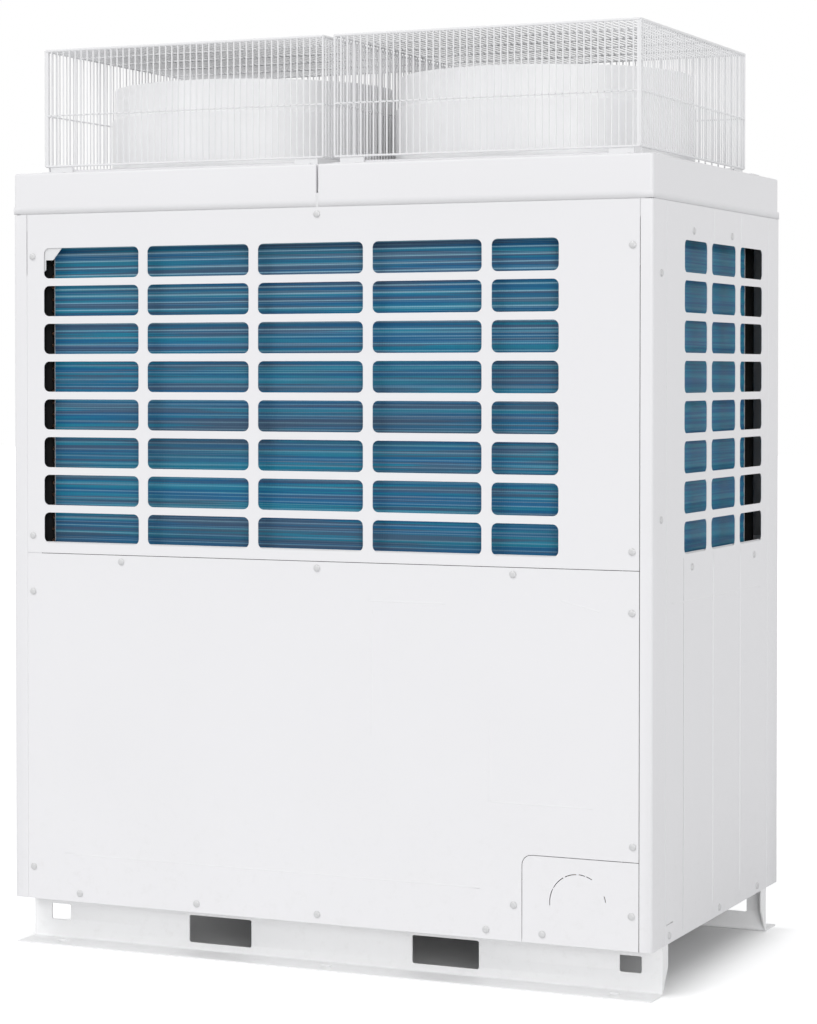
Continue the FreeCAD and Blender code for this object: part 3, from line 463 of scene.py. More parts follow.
low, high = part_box("right_side_panel")
openings = grille(side_starts, side_widths) + [slit, upright_cut]
cabinet_sheet("right_side_plate", "right_side_panel",
              pierced_grid([low.y, high.y], [low.z, high.z], openings), lambda u, v: (high.x, u, v))

bead_spans = [((high.x, y, z0), (high.x, y, z1)) for y in bead_places
              for z0, z1 in ((bead_bottom, lowest_opening - bead_gap), (row_tops[0] + bead_gap, high.z - 0.002))]
beads = pressed_lines("side_beads", bead_spans, bead_width, bead_height, (1, 0, 0), white_paint)
fit(beads, "cabinet", "cabinet_paint")
side_fold = pressed_lines("side_crease", [[(high.x, *side_crease[0]), (high.x, *side_crease[1])]], crease_width,
                          crease_height, (1, 0, 0), white_paint)
fit(side_fold, "cabinet", "cabinet_paint")

# Back and left side panels. Each is a plain painted sheet with one large window for the second coil, and is seen
# only from behind.
window_radius = 0.006
window_low, window_high = 0.7755, 1.286
back_window_half = 0.537
side_window_half = 0.239


def window(half):
    return [(-half, half, window_low, window_high, window_radius)]


low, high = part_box("back_panel")
cabinet_sheet("back_plate", "back_panel", pierced_grid([low.x, high.x], [low.z, high.z], window(back_window_half)),
              lambda u, v: (-u, high.y, v))
low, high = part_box("left_side_panel")
cabinet_sheet("left_side_plate", "left_side_panel",
              pierced_grid([low.y, high.y], [low.z, high.z], window(side_window_half)),
              lambda u, v: (low.x, -u, v))

# Corner posts. Each is one sheet folded round the corner in a wide bend, with its two edges stepped in and carried on
# as tongues behind the panels. On the front right post, black foam tape on the tongue is painted shade that darkens
# the seam beside the pipe cover. The tongues stop under the roof frame.
post_front = 0.023
post_side = 0.071
tongue = 0.029
joggle = 0.0012
half_seam = 0.0005
post_bend = 0.006
small_fold = 0.0004
fold_rounding = 0.00008


def rounded_path(corners, radii, steps=8):
    """Points along a line with rounded corners. Each arc is a circle of its radius that touches both runs, and its
    points are the blend of the arc's ends by sines of the shares of its angle."""
    corners = np.asarray(corners, float)
    path = [corners[:1]]
    for before, corner, after, radius in zip(corners, corners[1:], corners[2:], radii):
        a = (before - corner) / np.linalg.norm(before - corner)
        b = (after - corner) / np.linalg.norm(after - corner)
        if radius == 0 or np.dot(a, b) < -0.99999:
            path.append(corner[None])
            continue
        half = math.acos(np.dot(a, b)) / 2
        centre = corner + (a + b) / np.linalg.norm(a + b) * radius / math.sin(half)
        start = corner + a * radius / math.tan(half) - centre
        end = corner + b * radius / math.tan(half) - centre
        turn = math.pi - 2 * half
        share = np.linspace(0, 1, steps + 1)[:, None]
        path.append(centre + (np.sin((1 - share) * turn) * start + np.sin(share * turn) * end) / math.sin(turn))
    return np.concatenate(path + [corners[-1:]])


def at_levels(places, levels):
    """Every place at every one of the levels."""
    return np.column_stack([np.repeat(places, len(levels), axis=0), np.tile(levels, len(places))])


low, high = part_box("front_right_post")
tongue_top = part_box("roof_frame")[0].z
face, flank = low.y, high.x
t = sheet_thickness
levels = np.array([low.z, tongue_top, high.z])
for name, flip_x, flip_y in (("front_right", 1, 1), ("front_left", -1, 1), ("rear_right", 1, -1),
                             ("rear_left", -1, -1)):
    edge = flank - post_front - half_seam - (left_margin if name == "front_left" else 0.0)
    side_edge = face + post_side + half_seam
    line = rounded_path(
        [(edge - tongue, face + t), (edge, face + t), (edge + joggle, face), (flank, face),
         (flank, side_edge - joggle), (flank - t, side_edge), (flank - t, side_edge + tongue)],
        [small_fold, small_fold, post_bend, small_fold, small_fold])
    hidden = line[:, 0] < edge + 0.99 * joggle
    # On the front right post, the tongue faces behind the panel take the black foam as painted shade in the seam.
    shade_tape_slot = 2 if name == "front_right" else 0
    line = line * (flip_x, flip_y)
    if flip_x * flip_y < 0:
        line, hidden = line[::-1], hidden[::-1]
    shade_taped = hidden[:-1] & hidden[1:]
    above = ~(line[:, 1] * flip_y > side_edge - tiny)
    cells = grid_faces(len(line), len(levels))
    kept = ~shade_taped & (above[:-1] | above[1:])
    post = make_piece(name + "_corner_post", at_levels(line, levels), [cells[:, 0], cells[kept, 1]], white_paint,
                      smooth=True)
    thicken(post, sheet_thickness, back_coat_and_shade, fold_rounding)
    for _ in range(2):
        post.data.materials.append(shade_foam)
    in_shade_foam = np.append(shade_taped, np.zeros(kept.sum(), bool))
    post.data.polygons.foreach_set("material_index", np.where(in_shade_foam, shade_tape_slot, 0))
    fit(post, "cabinet", "cabinet_paint", name + "_post")

# Legs. Each is a 3 mm sheet folded into a foot, an upright web and a flange under the pan, with an ear across each
# end. The web has two pockets for a fork lift and two sling windows, and the foot has three bolt slots.
leg_sheet = 0.003
leg_bend = 0.003
pocket = (0.222, 0.127, 0.016, 0.050, 0.004)
pocket_shift = -0.004
sling_window = (0.560, 0.040, 0.0355, 0.029, 0.003)
bolt_places = (-0.540, 0.0, 0.540)
bolt_slot = (0.022, 0.014)
bolt_from_edge = 0.035
flange_width = 0.035
ear_depth = 0.030
ear_shoulder = 0.045
leg_top = 0.090
# The leg coat is lighter than the panels' paint. The extra lightness is painted light on the legs.
leg_paint = painted("white leg coat lightened as painted light", (0.90, 0.90, 0.905), 0.15)

low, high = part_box("front_leg")
web_face = -0.305
flange_edge = web_face + leg_sheet + flange_width
section = rounded_path([(low.y, leg_sheet), (web_face, leg_sheet), (web_face, leg_top), (flange_edge, leg_top)],
                       [leg_bend, leg_bend + leg_sheet])
run = np.concatenate([[0], np.cumsum(np.linalg.norm(np.diff(section, axis=0), axis=1))])
web = np.abs(section[:, 0] - web_face) < tiny
web_start = run[web][0] - section[web][0, 1]
half = high.x
slot_radius = bolt_slot[1] / 2
foot_openings = [(x - bolt_slot[0] / 2, x + bolt_slot[0] / 2, bolt_from_edge - slot_radius,
                  bolt_from_edge + slot_radius, slot_radius) for x in bolt_places]
web_openings = [(s * x + shift - wide / 2, s * x + shift + wide / 2, web_start + z, web_start + z + tall, radius)
                for (x, wide, z, tall, radius), shift in ((pocket, pocket_shift), (sling_window, 0.0))
                for s in (-1, 1)]
# The foot and the web are two grids on lines of their own, and one long face across the web joins them.
split = web_start + 0.008
join = web_start + 0.012
foot_run = run[run < split]
web_run = run[run > join]
u1, v1, quads1, corners1 = pierced_grid([-half, half], np.append(foot_run, split), foot_openings)
u2, v2, quads2, corners2 = pierced_grid([-half, half], np.append(join, web_run), web_openings)
seam = np.concatenate([np.flatnonzero(np.abs(v1 - split) < tiny),
                       len(u1) + np.flatnonzero(np.abs(v2 - join) < tiny)[::-1]])
u, v = np.concatenate([u1, u2]), np.concatenate([v1, v2])
leg_y = np.interp(v, run, section[:, 0])
leg_z = np.interp(v, run, section[:, 1])
ear_line = [(web_face + leg_sheet, leg_sheet), (web_face + ear_depth, ear_shoulder),
            (web_face + ear_depth, leg_top - leg_sheet), (web_face + leg_sheet, leg_top - leg_sheet)]
for name, side in (("front", 1), ("rear", -1)):
    leg = make_piece(name + "_folded_leg", np.stack([side * u, side * leg_y, leg_z], axis=1),
                     [quads1, corners1, len(u1) + quads2, len(u1) + corners2, seam[None]], leg_paint, smooth=True)
    thicken(leg, leg_sheet, rounding=fold_rounding)
    fit(leg, "cabinet", "leg_paint", name + "_leg")
    points = [(side * x, side * y, z) for x in (half, -half + leg_sheet) for y, z in ear_line]
    ears = make_piece(name + "_leg_ears", points, [np.array([[0, 1, 2, 3], [4, 5, 6, 7]])], leg_paint)
    thicken(ears, leg_sheet)
    fit(ears, "cabinet", "leg_paint")

# Roof covers. Two shallow pressed trays cap the cabinet side by side. Above a square lower band their corners are
# round, the top edge is rolled over, and each has a round hole with a small lip under its shroud. Low ribs stand
# along the outer edges, just inside the cages.
cover_band = 0.013
front_bend, rear_bend = 0.007, 0.015
roll = 0.004
square_radius = 0.0015
band_step = 0.0004
hole_radius = 0.267
hole_bend = 0.002
lip = 0.006
fan_centre = np.array([0.295, -0.024])
corner_points = 9
edge_points = 20
rib_rounding = 0.0025
rib_seat = 0.0005


def rounded_rectangle(low, high, radii, inset):
    """A closed loop of points round a rectangle, anticlockwise from its lower left corner, with a radius for each
    corner. Every loop has as many points, so that loops at different heights can be joined."""
    low, high = np.asarray(low) + inset, np.asarray(high) - inset
    centres = [(low[0], low[1], 180, 1, 1), (high[0], low[1], 270, -1, 1), (high[0], high[1], 0, -1, -1),
               (low[0], high[1], 90, 1, -1)]
    arcs = [arc((x + sx * r, y + sy * r), r, turn, turn + 90, corner_points)
            for (x, y, turn, sx, sy), r in zip(centres, np.maximum(np.asarray(radii) - inset, 0.0004))]
    share = np.linspace(0, 1, edge_points + 2)[1:-1, None]
    runs = [a[-1] + share * (b[0] - a[-1]) for a, b in zip(arcs, arcs[1:] + arcs[:1])]
    return np.concatenate([part for pair in zip(arcs, runs) for part in pair])


def gather(parts):
    """Joins several lots of points and faces into one, numbering the later ones on from the earlier."""
    points, faces, first = [], [], 0
    for part in parts:
        points.append(part[0])
        faces += [group + first for group in part[1:]]
        first += len(part[0])
    return np.concatenate(points), faces


def block(low, high):
    """Points and faces of an upright box between two corners."""
    x, y, z = np.meshgrid(*zip(low, high), indexing="ij")
    points = np.stack([x.ravel(), y.ravel(), z.ravel()], axis=1)
    return points, np.array([[0, 1, 3, 2], [4, 6, 7, 5], [0, 4, 5, 1], [2, 3, 7, 6], [0, 2, 6, 4], [1, 5, 7, 3]])


inner_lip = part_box("roof_frame")[1].z + 0.001
cover_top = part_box("cage_feet")[0].z
ribs = (((0.054, -0.317), (0.5375, -0.309)), ((0.054, 0.261), (0.5375, 0.269)), ((0.568, -0.2785), (0.576, 0.2305)))
for name, side in (("left", -1), ("right", 1)):
    low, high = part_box(name + "_cover")
    rib_top = high.z
    high.z = cover_top
    near = high.x if side < 0 else low.x
    square = [square_radius] * 4
    corner = [square_radius, front_bend, rear_bend, square_radius]
    if side < 0:
        corner = [front_bend, square_radius, square_radius, rear_bend]
    curl = np.radians(np.linspace(0, 90, 6))
    band_top = low.z + cover_band
    stages = [(low.z, 0.0, square), (band_top - band_step, 0.0, square), (band_top + band_step, 0.0, corner)]
    stages += [(high.z - roll * (1 - math.sin(c)), roll * (1 - math.cos(c)), corner) for c in curl]
    loops = []
    for z, inset, radii in stages:
        loop = rounded_rectangle((low.x, low.y), (high.x, high.y), radii, inset)
        level = np.full(len(loop), z)
        open_side = (np.abs(loop[:, 0] - near) < 1e-4) & (np.abs(loop[:, 1]) < high.y - roll)
        level[open_side] = np.maximum(level[open_side], inner_lip)
        loops.append(np.column_stack([loop, level]))
    centre = fan_centre * (side, 1)
    away = loops[-1][:, :2] - centre
    away /= np.linalg.norm(away, axis=1, keepdims=True)
    for radius, z in ((hole_radius + hole_bend, high.z), (hole_radius, high.z - hole_bend),
                      (hole_radius, high.z - lip)):
        loops.append(np.column_stack([centre + radius * away, np.full(len(away), z)]))
    tray = make_piece(name + "_roof_cover", np.concatenate(loops), [tube_faces(len(loops), len(loops[0]))],
                      white_paint, smooth=True)
    wall = tray.modifiers.new("wall", "SOLIDIFY")
    wall.thickness = sheet_thickness
    wall.offset = -1
    fit(tray, "cabinet", "cabinet_paint", name + "_cover")
    points, faces = gather([block(*np.sort([(side * a[0], a[1], cover_top - rib_seat),
                                            (side * b[0], b[1], rib_top)], axis=0)) for a, b in ribs])
    rib_set = make_piece(name + "_cover_ribs", points, faces, white_paint)
    round_edges(rib_set, rib_rounding)
    fit(rib_set, "cabinet", "cabinet_paint")

# Fan shrouds. Each is a ring of moulded white plastic round its fan, a little narrower above a step, with a rounded
# rim. It is satin smooth, with a faint grain and upright streaks that are partly flow lines from the mould and partly
# painted highlight and shadow bands.
shroud_radius = 0.272
shroud_bore = 0.264
shroud_step_z = 1.531
shroud_step = 0.005
rim_radius = 0.0015
round_sides = 128


def turned_piece(name, profile, centre, material, sides=round_sides):
    """A closed profile of radius and height revolved about the upright line through centre. It runs so that the
    outside is on its right."""
    profile = np.asarray(profile, float)
    turns = np.linspace(0, 2 * math.pi, sides, endpoint=False)
    x = centre[0] + profile[:, 0, None] * np.cos(turns)
    y = centre[1] + profile[:, 0, None] * np.sin(turns)
    z = np.repeat(profile[:, 1, None], sides, axis=1)
    k = np.arange(sides)
    after = (k + 1) % sides
    last = (len(profile) - 1) * sides
    faces = [tube_faces(len(profile), sides), np.stack([last + k, last + after, after, k], axis=1)]
    return make_piece(name, np.stack([x, y, z], axis=-1), faces, material, smooth=True)


plastic, given, put = new_group(
    "moulded plastic", {"Tint": (0.8, 0.8, 0.8), "Shade": (0.7, 0.7, 0.7)}, "Colour", "Roughness", "Height")
place = object_place(plastic)
stretched = add_node(plastic, "ShaderNodeMapping", None, {"Vector": place, "Scale": (14.0, 14.0, 0.8)}).outputs[0]
# Upright streaks of the second colour: flow lines, and on the white shroud also painted highlight and shadow bands.
flow_and_light_bands = cloud(plastic, stretched, 1.0, 2.0)
grain = cloud(plastic, place, 900.0, 1.0)
set_inputs(plastic, put, Roughness=plus(plastic, 0.30, times(plastic, flow_and_light_bands, 0.18)),
           Colour=blend_colours(plastic, soft_step(plastic, flow_and_light_bands, 0.3, 0.75), given["Tint"], given["Shade"]),
           Height=plus(plastic, times(plastic, flow_and_light_bands, 0.0004), times(plastic, grain, 0.00002)))


def moulded(name, tint, shade):
    """A moulded plastic of one colour, with a second one in upright streaks where it flowed, which on the white shroud
    also stand in for painted highlight and shadow bands.
    """
    return wear_group(name, plastic, Tint=tint, Shade=shade)[0]


white_plastic = moulded("white shroud plastic", (0.92, 0.92, 0.925), (0.87, 0.87, 0.88))
rim = np.radians(np.linspace(0, 180, 9))
for name, side in (("left", -1), ("right", 1)):
    low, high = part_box(name + "_shroud")
    upper = shroud_radius - shroud_step
    middle = (upper + shroud_bore) / 2
    rim_turn = [(middle + rim_radius * math.cos(a), high.z - rim_radius + rim_radius * math.sin(a)) for a in rim]
    profile = [(shroud_radius, low.z), (shroud_radius, shroud_step_z - 0.001),
               (shroud_radius - 0.0004, shroud_step_z), (upper + 0.0004, shroud_step_z + shroud_step - 0.001),
               (upper, shroud_step_z + shroud_step)] + rim_turn + [(shroud_bore, low.z)]
    ring = turned_piece(name + "_fan_shroud", profile, fan_centre * (side, 1), white_plastic)
    fit(ring, "cabinet", "shroud_plastic", name + "_shroud")

# Fan cages. Each is welded from white coated steel wire: 3 mm wires every 12.7 mm on thicker edge rods, one wire
# round the middle, a flat strip up each outer corner, and a few cross wires on the top.
wire_pitch = 0.0127
wire_radius = 0.0015
rod_radius = 0.0025
foot_rod_radius = 0.0020
middle_z = 1.531
strip_width = 0.007
strip_half = 0.001
cross_pitch = 0.110


def straight_wires(starts, ends, radius, sides=6):
    """Points and faces of straight round wires, one for each pair of ends: a ring of points about each end, at
    radius * (cosine, sine) on two directions square to the wire, and a flat cap at both ends."""
    starts, ends = np.asarray(starts, float), np.asarray(ends, float)
    along = ends - starts
    along /= np.linalg.norm(along, axis=1, keepdims=True)
    helper = np.where(np.abs(along[:, 2:]) > 0.7, (1.0, 0.0, 0.0), (0.0, 0.0, 1.0))
    across = np.cross(along, helper)
    across /= np.linalg.norm(across, axis=1, keepdims=True)
    up = np.cross(along, across)
    turns = 2 * math.pi * (np.arange(sides) + 0.5) / sides
    ring = radius * (np.cos(turns)[None, :, None] * across[:, None] + np.sin(turns)[None, :, None] * up[:, None])
    points = np.stack([starts[:, None] + ring, ends[:, None] + ring], axis=1).reshape(-1, 3)
    base = (np.arange(len(starts)) * 2 * sides)[:, None]
    quads = (tube_faces(2, sides) + base[:, :, None]).reshape(-1, 4)
    return points, quads, np.concatenate([cap + base for cap in tube_caps(2, sides)])


def wire_places(low, high, pitch=wire_pitch):
    """Evenly spaced places between two edges, about a pitch apart, without the edges."""
    return np.linspace(low, high, max(2, round((high - low) / pitch)) + 1)[1:-1]


def wires_between(a, b, radius, **fixed):
    """Wires from corner a to corner b. One of x, y and z may be an array, which gives a row of wires."""
    count = max(np.size(value) for value in (*a, *b))
    ends = [np.stack([np.broadcast_to(value, count) for value in end], axis=1) for end in (a, b)]
    return straight_wires(*ends, radius, **fixed)


wire_coat = painted("white wire coat", (0.80, 0.80, 0.81), 0.0)
for name, side in (("left", -1), ("right", 1)):
    (x0, y0, z0), (x1, y1, z1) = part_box(name + "_cage_front")[0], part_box(name + "_cage_top")[1]
    r, foot_r = rod_radius, foot_rod_radius
    left_x, right_x, front_y, back_y = x0 + r, x1 - r, y0 + r, y1 - r
    foot_z, head_z = z0 + foot_r, z1 - r
    outer_x = right_x - strip_width + r / 2 if side > 0 else left_x - r / 2
    along_x = wire_places(left_x, right_x)
    along_y = wire_places(front_y, back_y)
    walls = {}
    sides_x, sides_y = np.array([left_x, right_x]), np.array([front_y, back_y])
    for wall, y in (("front", front_y), ("back", back_y)):
        walls[wall] = [wires_between((left_x, y, foot_z), (right_x, y, foot_z), foot_r, sides=8),
                       wires_between((left_x, y, middle_z), (right_x, y, middle_z), wire_radius),
                       wires_between((along_x, y, foot_z), (along_x, y, head_z), wire_radius),
                       wires_between((sides_x, y, foot_z), (sides_x, y, head_z), foot_r, sides=8),
                       block((outer_x, y - strip_half, foot_z), (outer_x + strip_width, y + strip_half, head_z))]
    for wall, x in (("left", left_x), ("right", right_x)):
        walls[wall] = [wires_between((x, front_y + r, foot_z), (x, back_y - r, foot_z), foot_r, sides=8),
                       wires_between((x, front_y + r, middle_z), (x, back_y - r, middle_z), wire_radius),
                       wires_between((x, along_y, foot_z), (x, along_y, head_z), wire_radius)]
    cross = wire_places(front_y, back_y, cross_pitch)
    over_z, under_z = head_z + 0.0008, head_z - 0.002
    walls["top"] = [wires_between((left_x, sides_y, head_z), (right_x, sides_y, head_z), r, sides=8),
                    wires_between((sides_x, front_y, head_z), (sides_x, back_y, head_z), r, sides=8),
                    wires_between((along_x, front_y, over_z), (along_x, back_y, over_z), wire_radius),
                    wires_between((left_x, cross, under_z), (right_x, cross, under_z), wire_radius)]
    for wall, parts in walls.items():
        points, faces = gather(parts)
        piece = make_piece(name + "_cage_" + wall + "_wires", points, faces, wire_coat, smooth=True)
        fit(piece, "cabinet", "guard_wire", name + "_cage_" + wall)

# Cage feet. Small folded plates that stand on the covers, hook round the lowest rod of a cage and are held by one
# screw each. They are plain enough to stay as they are in the frame, under the same wire coat.


def finish_nodes(material, *names):
    """Gives nodes of the frame whose shape is right their material."""
    for name in names:
        nodes[name].data.materials.clear()
        nodes[name].data.materials.append(material)


finish_nodes(wire_coat, "cage_feet")

# Wire guards. Welded wire panels like the cages, fixed behind the windows of the back and the left side.
guard_radius = 0.0016
guard_bar_radius = 0.0025
guard_bar_pitch = 0.100
for name, along_x in (("back", True), ("left", False)):
    low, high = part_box(name + "_guard")
    depth = (low.y + high.y if along_x else low.x + high.x) / 2
    a0, a1 = (low.x, high.x) if along_x else (low.y, high.y)
    a0, a1, b0, b1 = a0 + guard_bar_radius, a1 - guard_bar_radius, low.z + guard_bar_radius, high.z - guard_bar_radius
    across, levels = wire_places(a0, a1), wire_places(b0, b1, guard_bar_pitch)
    ends, edges = np.array([b0, b1]), np.array([a0, a1])
    parts = []
    for (a, b), (c, d), radius, sides in (
            ((across, b0), (across, b1), guard_radius, 6), ((a0, levels), (a1, levels), guard_radius, 6),
            ((a0, ends), (a1, ends), guard_bar_radius, 8), ((edges, b0), (edges, b1), guard_bar_radius, 8)):
        corners = ((a, depth, b), (c, depth, d)) if along_x else ((depth, a, b), (depth, c, d))
        parts.append(wires_between(*corners, radius, sides=sides))
    points, faces = gather(parts)
    piece = make_piece(name + "_guard_wires", points, faces, wire_coat, smooth=True)
    fit(piece, "cabinet", "guard_wire", name + "_guard")

# Fan wheels. Moulded dark grey plastic: a round hub with a domed rim, and four wide blades that twist and are
# cambered, thin at their edges. Each wheel turns with its motor shaft.
hub_radius = 0.080
hub_height = 0.096
hub_rounding = 0.006
tip_radius = 0.252
blade_count = 4
blade_lap = 0.008
root_chord, tip_chord = 0.120, 0.215
root_pitch, tip_pitch = 40.0, 24.0
camber = 0.08
blade_thickness = 0.004
bore_radius = 0.0072
dark_plastic = moulded("dark fan plastic", (0.060, 0.062, 0.066), (0.045, 0.046, 0.050))


def blade_surface(stations, strips, middle_z):
    """The closed skin of one blade on the +X side. At the share s from root to tip, chord and pitch blend linearly.
    At a from -0.5 to 0.5 along the chord, the point is turned by a * chord * cosine(pitch) / radius, and raised by
    a * chord * sine(pitch) + chord * camber * (1 - 4 a^2). The skin lies half a wall above and below that, and the
    wall thins to a third at the edges."""
    s = np.linspace(0, 1, stations)[:, None]
    a = np.linspace(-0.5, 0.5, strips)[None]
    radius = hub_radius - blade_lap + s * (tip_radius - hub_radius + blade_lap)
    chord = root_chord + s * (tip_chord - root_chord)
    pitch = np.radians(root_pitch + s * (tip_pitch - root_pitch))
    turn = a * chord * np.cos(pitch) / radius
    rise = a * chord * np.sin(pitch) + chord * camber * (1 - 4 * a ** 2)
    wall = blade_thickness / 2 * (1 - 0.65 * np.abs(2 * a) ** 3) * np.ones_like(s)
    x, y = radius * np.cos(turn), radius * np.sin(turn)
    z = middle_z + rise + blade_thickness / 2
    over = np.stack([x, y, z + wall], axis=-1)
    under = np.stack([x, y, z - wall], axis=-1)
    rings = np.concatenate([over, under[:, ::-1]], axis=1)
    count = rings.shape[1]
    return rings.reshape(-1, 3), [part[:, ::-1] for part in [tube_faces(stations, count)] + tube_caps(stations, count)]


for name, side in (("left", -1), ("right", 1)):
    low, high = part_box(name + "_fan")
    centre = fan_centre * (side, 1)
    hub_low = high.z - hub_height
    bend = np.radians(np.linspace(0, 90, 6))
    rim_line = [(hub_radius - hub_rounding * (1 - math.cos(a)), hub_low + hub_height - hub_rounding
                 + hub_rounding * math.sin(a)) for a in bend]
    profile = [(bore_radius, hub_low + 0.002), (hub_radius - 0.003, hub_low + 0.002), (hub_radius - 0.003, hub_low),
               (hub_radius, hub_low)] + rim_line
    profile += [(0.030, high.z), (0.028, high.z - 0.004), (0.018, high.z - 0.004), (0.018, high.z),
                (bore_radius, high.z)]
    hub = turned_piece(name + "_fan_hub", profile, centre, dark_plastic, sides=72)
    fit(hub, name + "_fan_wheel", "fan_plastic", name + "_fan")
    skin, faces = blade_surface(16, 13, hub_low + hub_height / 2)
    lots = []
    for k in range(blade_count):
        c, s = math.cos(2 * math.pi * k / blade_count), math.sin(2 * math.pi * k / blade_count)
        turned = np.stack([centre[0] + c * skin[:, 0] - s * skin[:, 1], centre[1] + s * skin[:, 0] + c * skin[:, 1],
                           skin[:, 2]], axis=1)
        lots.append((turned, *faces))
    points, faces = gather(lots)
    wheel = make_piece(name + "_fan_blades", points, faces, dark_plastic, smooth=True)
    fit(wheel, name + "_fan_wheel", "fan_plastic")

# Zinc coated parts: the motor rails, the control box and its lid, the valve bracket and the fan shafts are folded
# or turned steel, with the spangle of hot dip zinc on the sheets.
zinc, tree, surface = new_material("hot dip zinc")
place = object_place(tree)
spangle = add_node(tree, "ShaderNodeTexVoronoi", None, {"Vector": place, "Scale": 90.0}).outputs["Color"]
facet = add_node(tree, "ShaderNodeSeparateColor", None, {0: spangle}).outputs[0]
bloom = cloud(tree, place, 14.0, 4.0)
fresh = times(tree, plus(tree, facet, bloom), 0.5)
set_inputs(tree, surface, Metallic=0.9, Roughness=plus(tree, 0.30, times(tree, facet, 0.2)),
           Base_Color=blend_colours(tree, fresh, (0.50, 0.51, 0.53), (0.72, 0.73, 0.74)))
add_bump(tree, surface, facet, 0.2, 0.0003)
finish_nodes(zinc, "motor_rails", "control_box", "control_box_cover", "valve_bracket", "left_fan_shaft",
             "right_fan_shaft")

# Fan motors. Cast aluminium cases with cooling ribs round them, each bolted by a round foot to its two rails.
motor_radius = 0.072
motor_rib = 0.0025
motor_foot_radius = 0.084
motor_bore = 0.0073
motor_rib_pitch = 0.0075
cast, tree, surface = new_material("cast aluminium")
place = object_place(tree)
sand = cloud(tree, place, 420.0, 3.0, 0.6)
stain = cloud(tree, place, 18.0, 4.0)
set_inputs(tree, surface, Metallic=0.7, Roughness=plus(tree, 0.42, times(tree, stain, 0.2)),
           Base_Color=blend_colours(tree, stain, (0.36, 0.37, 0.39), (0.52, 0.53, 0.54)))
add_bump(tree, surface, sand, 0.5, 0.0004)
for name, side in (("left", -1), ("right", 1)):
    low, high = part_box(name + "_fan_motor")
    ribs = []
    for z in np.arange(low.z + 0.010, high.z - 0.018, motor_rib_pitch):
        ribs += [(motor_radius - motor_rib, z), (motor_radius, z + 0.0012), (motor_radius, z + 0.0028),
                 (motor_radius - motor_rib, z + 0.0040)]
    profile = [(motor_bore, low.z + 0.036), (motor_bore, low.z), (motor_foot_radius, low.z),
               (motor_foot_radius, low.z + 0.004), (motor_radius - motor_rib, low.z + 0.0045)] + ribs
    profile += [(motor_radius - motor_rib, high.z - 0.012), (motor_radius - 0.008, high.z - 0.004),
                (motor_radius - 0.014, high.z - 0.001), (0.026, high.z - 0.001), (0.024, high.z),
                (motor_bore, high.z)]
    case = turned_piece(name + "_motor_case", profile, fan_centre * (side, 1), cast, sides=64)
    fit(case, "cabinet", "motor_case", name + "_fan_motor")

# Coils. Each is a bank of thin blue coated aluminium fins on rows of copper tube, bent once round a corner: one behind
# the front and the right side, its twin behind the back and the left side. Between its tube rows, the fins stand in
# upright lines that are too fine to tell apart from a distance. The colour also paints pale highlights along the tubes
# and dark shade between the fins.
tube_pitch = 0.0212
fin_pitch = 0.0032
row_relief = 0.0014
free_end = 0.008
fins, tree, surface = new_material("blue coated fins")
place = object_place(tree)
axes = add_node(tree, "ShaderNodeSeparateXYZ", None, {0: place}).outputs


def streaks(tree, place, along, upright, shift, detail=2.0):
    """Noise drawn out into level streaks, with so many in a metre along the coil and up it."""
    stretched = add_node(tree, "ShaderNodeMapping", None, {"Vector": place, "Location": (shift, shift, shift),
                                                           "Scale": (along, along, upright)}).outputs[0]
    return cloud(tree, stretched, 1.0, detail, 0.6)


def ripple(tree, value, pitch, sharp):
    """A row of soft lines: the share of the pitch at which a value stands, folded about the line, to a power."""
    share = combine(tree, "FRACT", combine(tree, "DIVIDE", value, pitch))
    nearness = combine(tree, "ABSOLUTE", combine(tree, "SUBTRACT", times(tree, share, 2.0), 1.0))
    return combine(tree, "POWER", nearness, sharp)


# The streaks are plain on the long face and almost gone on the short one. A painted highlight runs along each tube row
# and is strongest in the upper rows. The upright fin lines are a bump and also painted shade in the gaps between the
# fins.
long_face = soft_step(tree, combine(tree, "ABSOLUTE", axes[1]), 0.24, 0.33)
strength = plus(tree, times(tree, long_face, 0.9), 0.1)
teal = soft_step(tree, streaks(tree, place, 1.6, 170.0, 3.0), 0.40, 0.60)
grey = times(tree, soft_step(tree, streaks(tree, place, 2.0, 150.0, 11.0), 0.47, 0.58), strength)
dull = times(tree, soft_step(tree, streaks(tree, place, 2.2, 9.0, 23.0), 0.40, 0.70), strength)
hair = times(tree, soft_step(tree, streaks(tree, place, 0.9, 420.0, 31.0, 1.0), 0.58, 0.68), strength)
highlight_rise = plus(tree, 0.35, times(tree, soft_step(tree, axes[2], 1.00, 1.28), 0.65))
painted_tube_highlight = times(tree, ripple(tree, axes[2], 0.6 * tube_pitch, 8.0), times(tree, strength, highlight_rise))
fin_relief_and_shade = ripple(tree, plus(tree, axes[0], axes[1]), fin_pitch, 2.0)
blue = blend_colours(tree, teal, (0.002, 0.115, 0.270), (0.006, 0.210, 0.330))
# Of these colours, the pale blue is the painted tube highlight and the darkest blue is the painted shade between the
# fins.
for mark, share, colour in ((grey, 0.80, (0.050, 0.085, 0.160)), (dull, 0.40, (0.050, 0.080, 0.110)),
                            (hair, 0.40, (0.200, 0.380, 0.500)), (painted_tube_highlight, 0.85, (0.420, 0.720, 0.860)),
                            (fin_relief_and_shade, 0.22, (0.006, 0.040, 0.090))):
    blue = blend_colours(tree, times(tree, mark, share), blue, colour)
set_inputs(tree, surface, Base_Color=blue, Roughness=plus(tree, 0.45, times(tree, dull, 0.2)),
           Specular_IOR_Level=0.3)
add_bump(tree, surface, fin_relief_and_shade, 0.5, 0.0006)

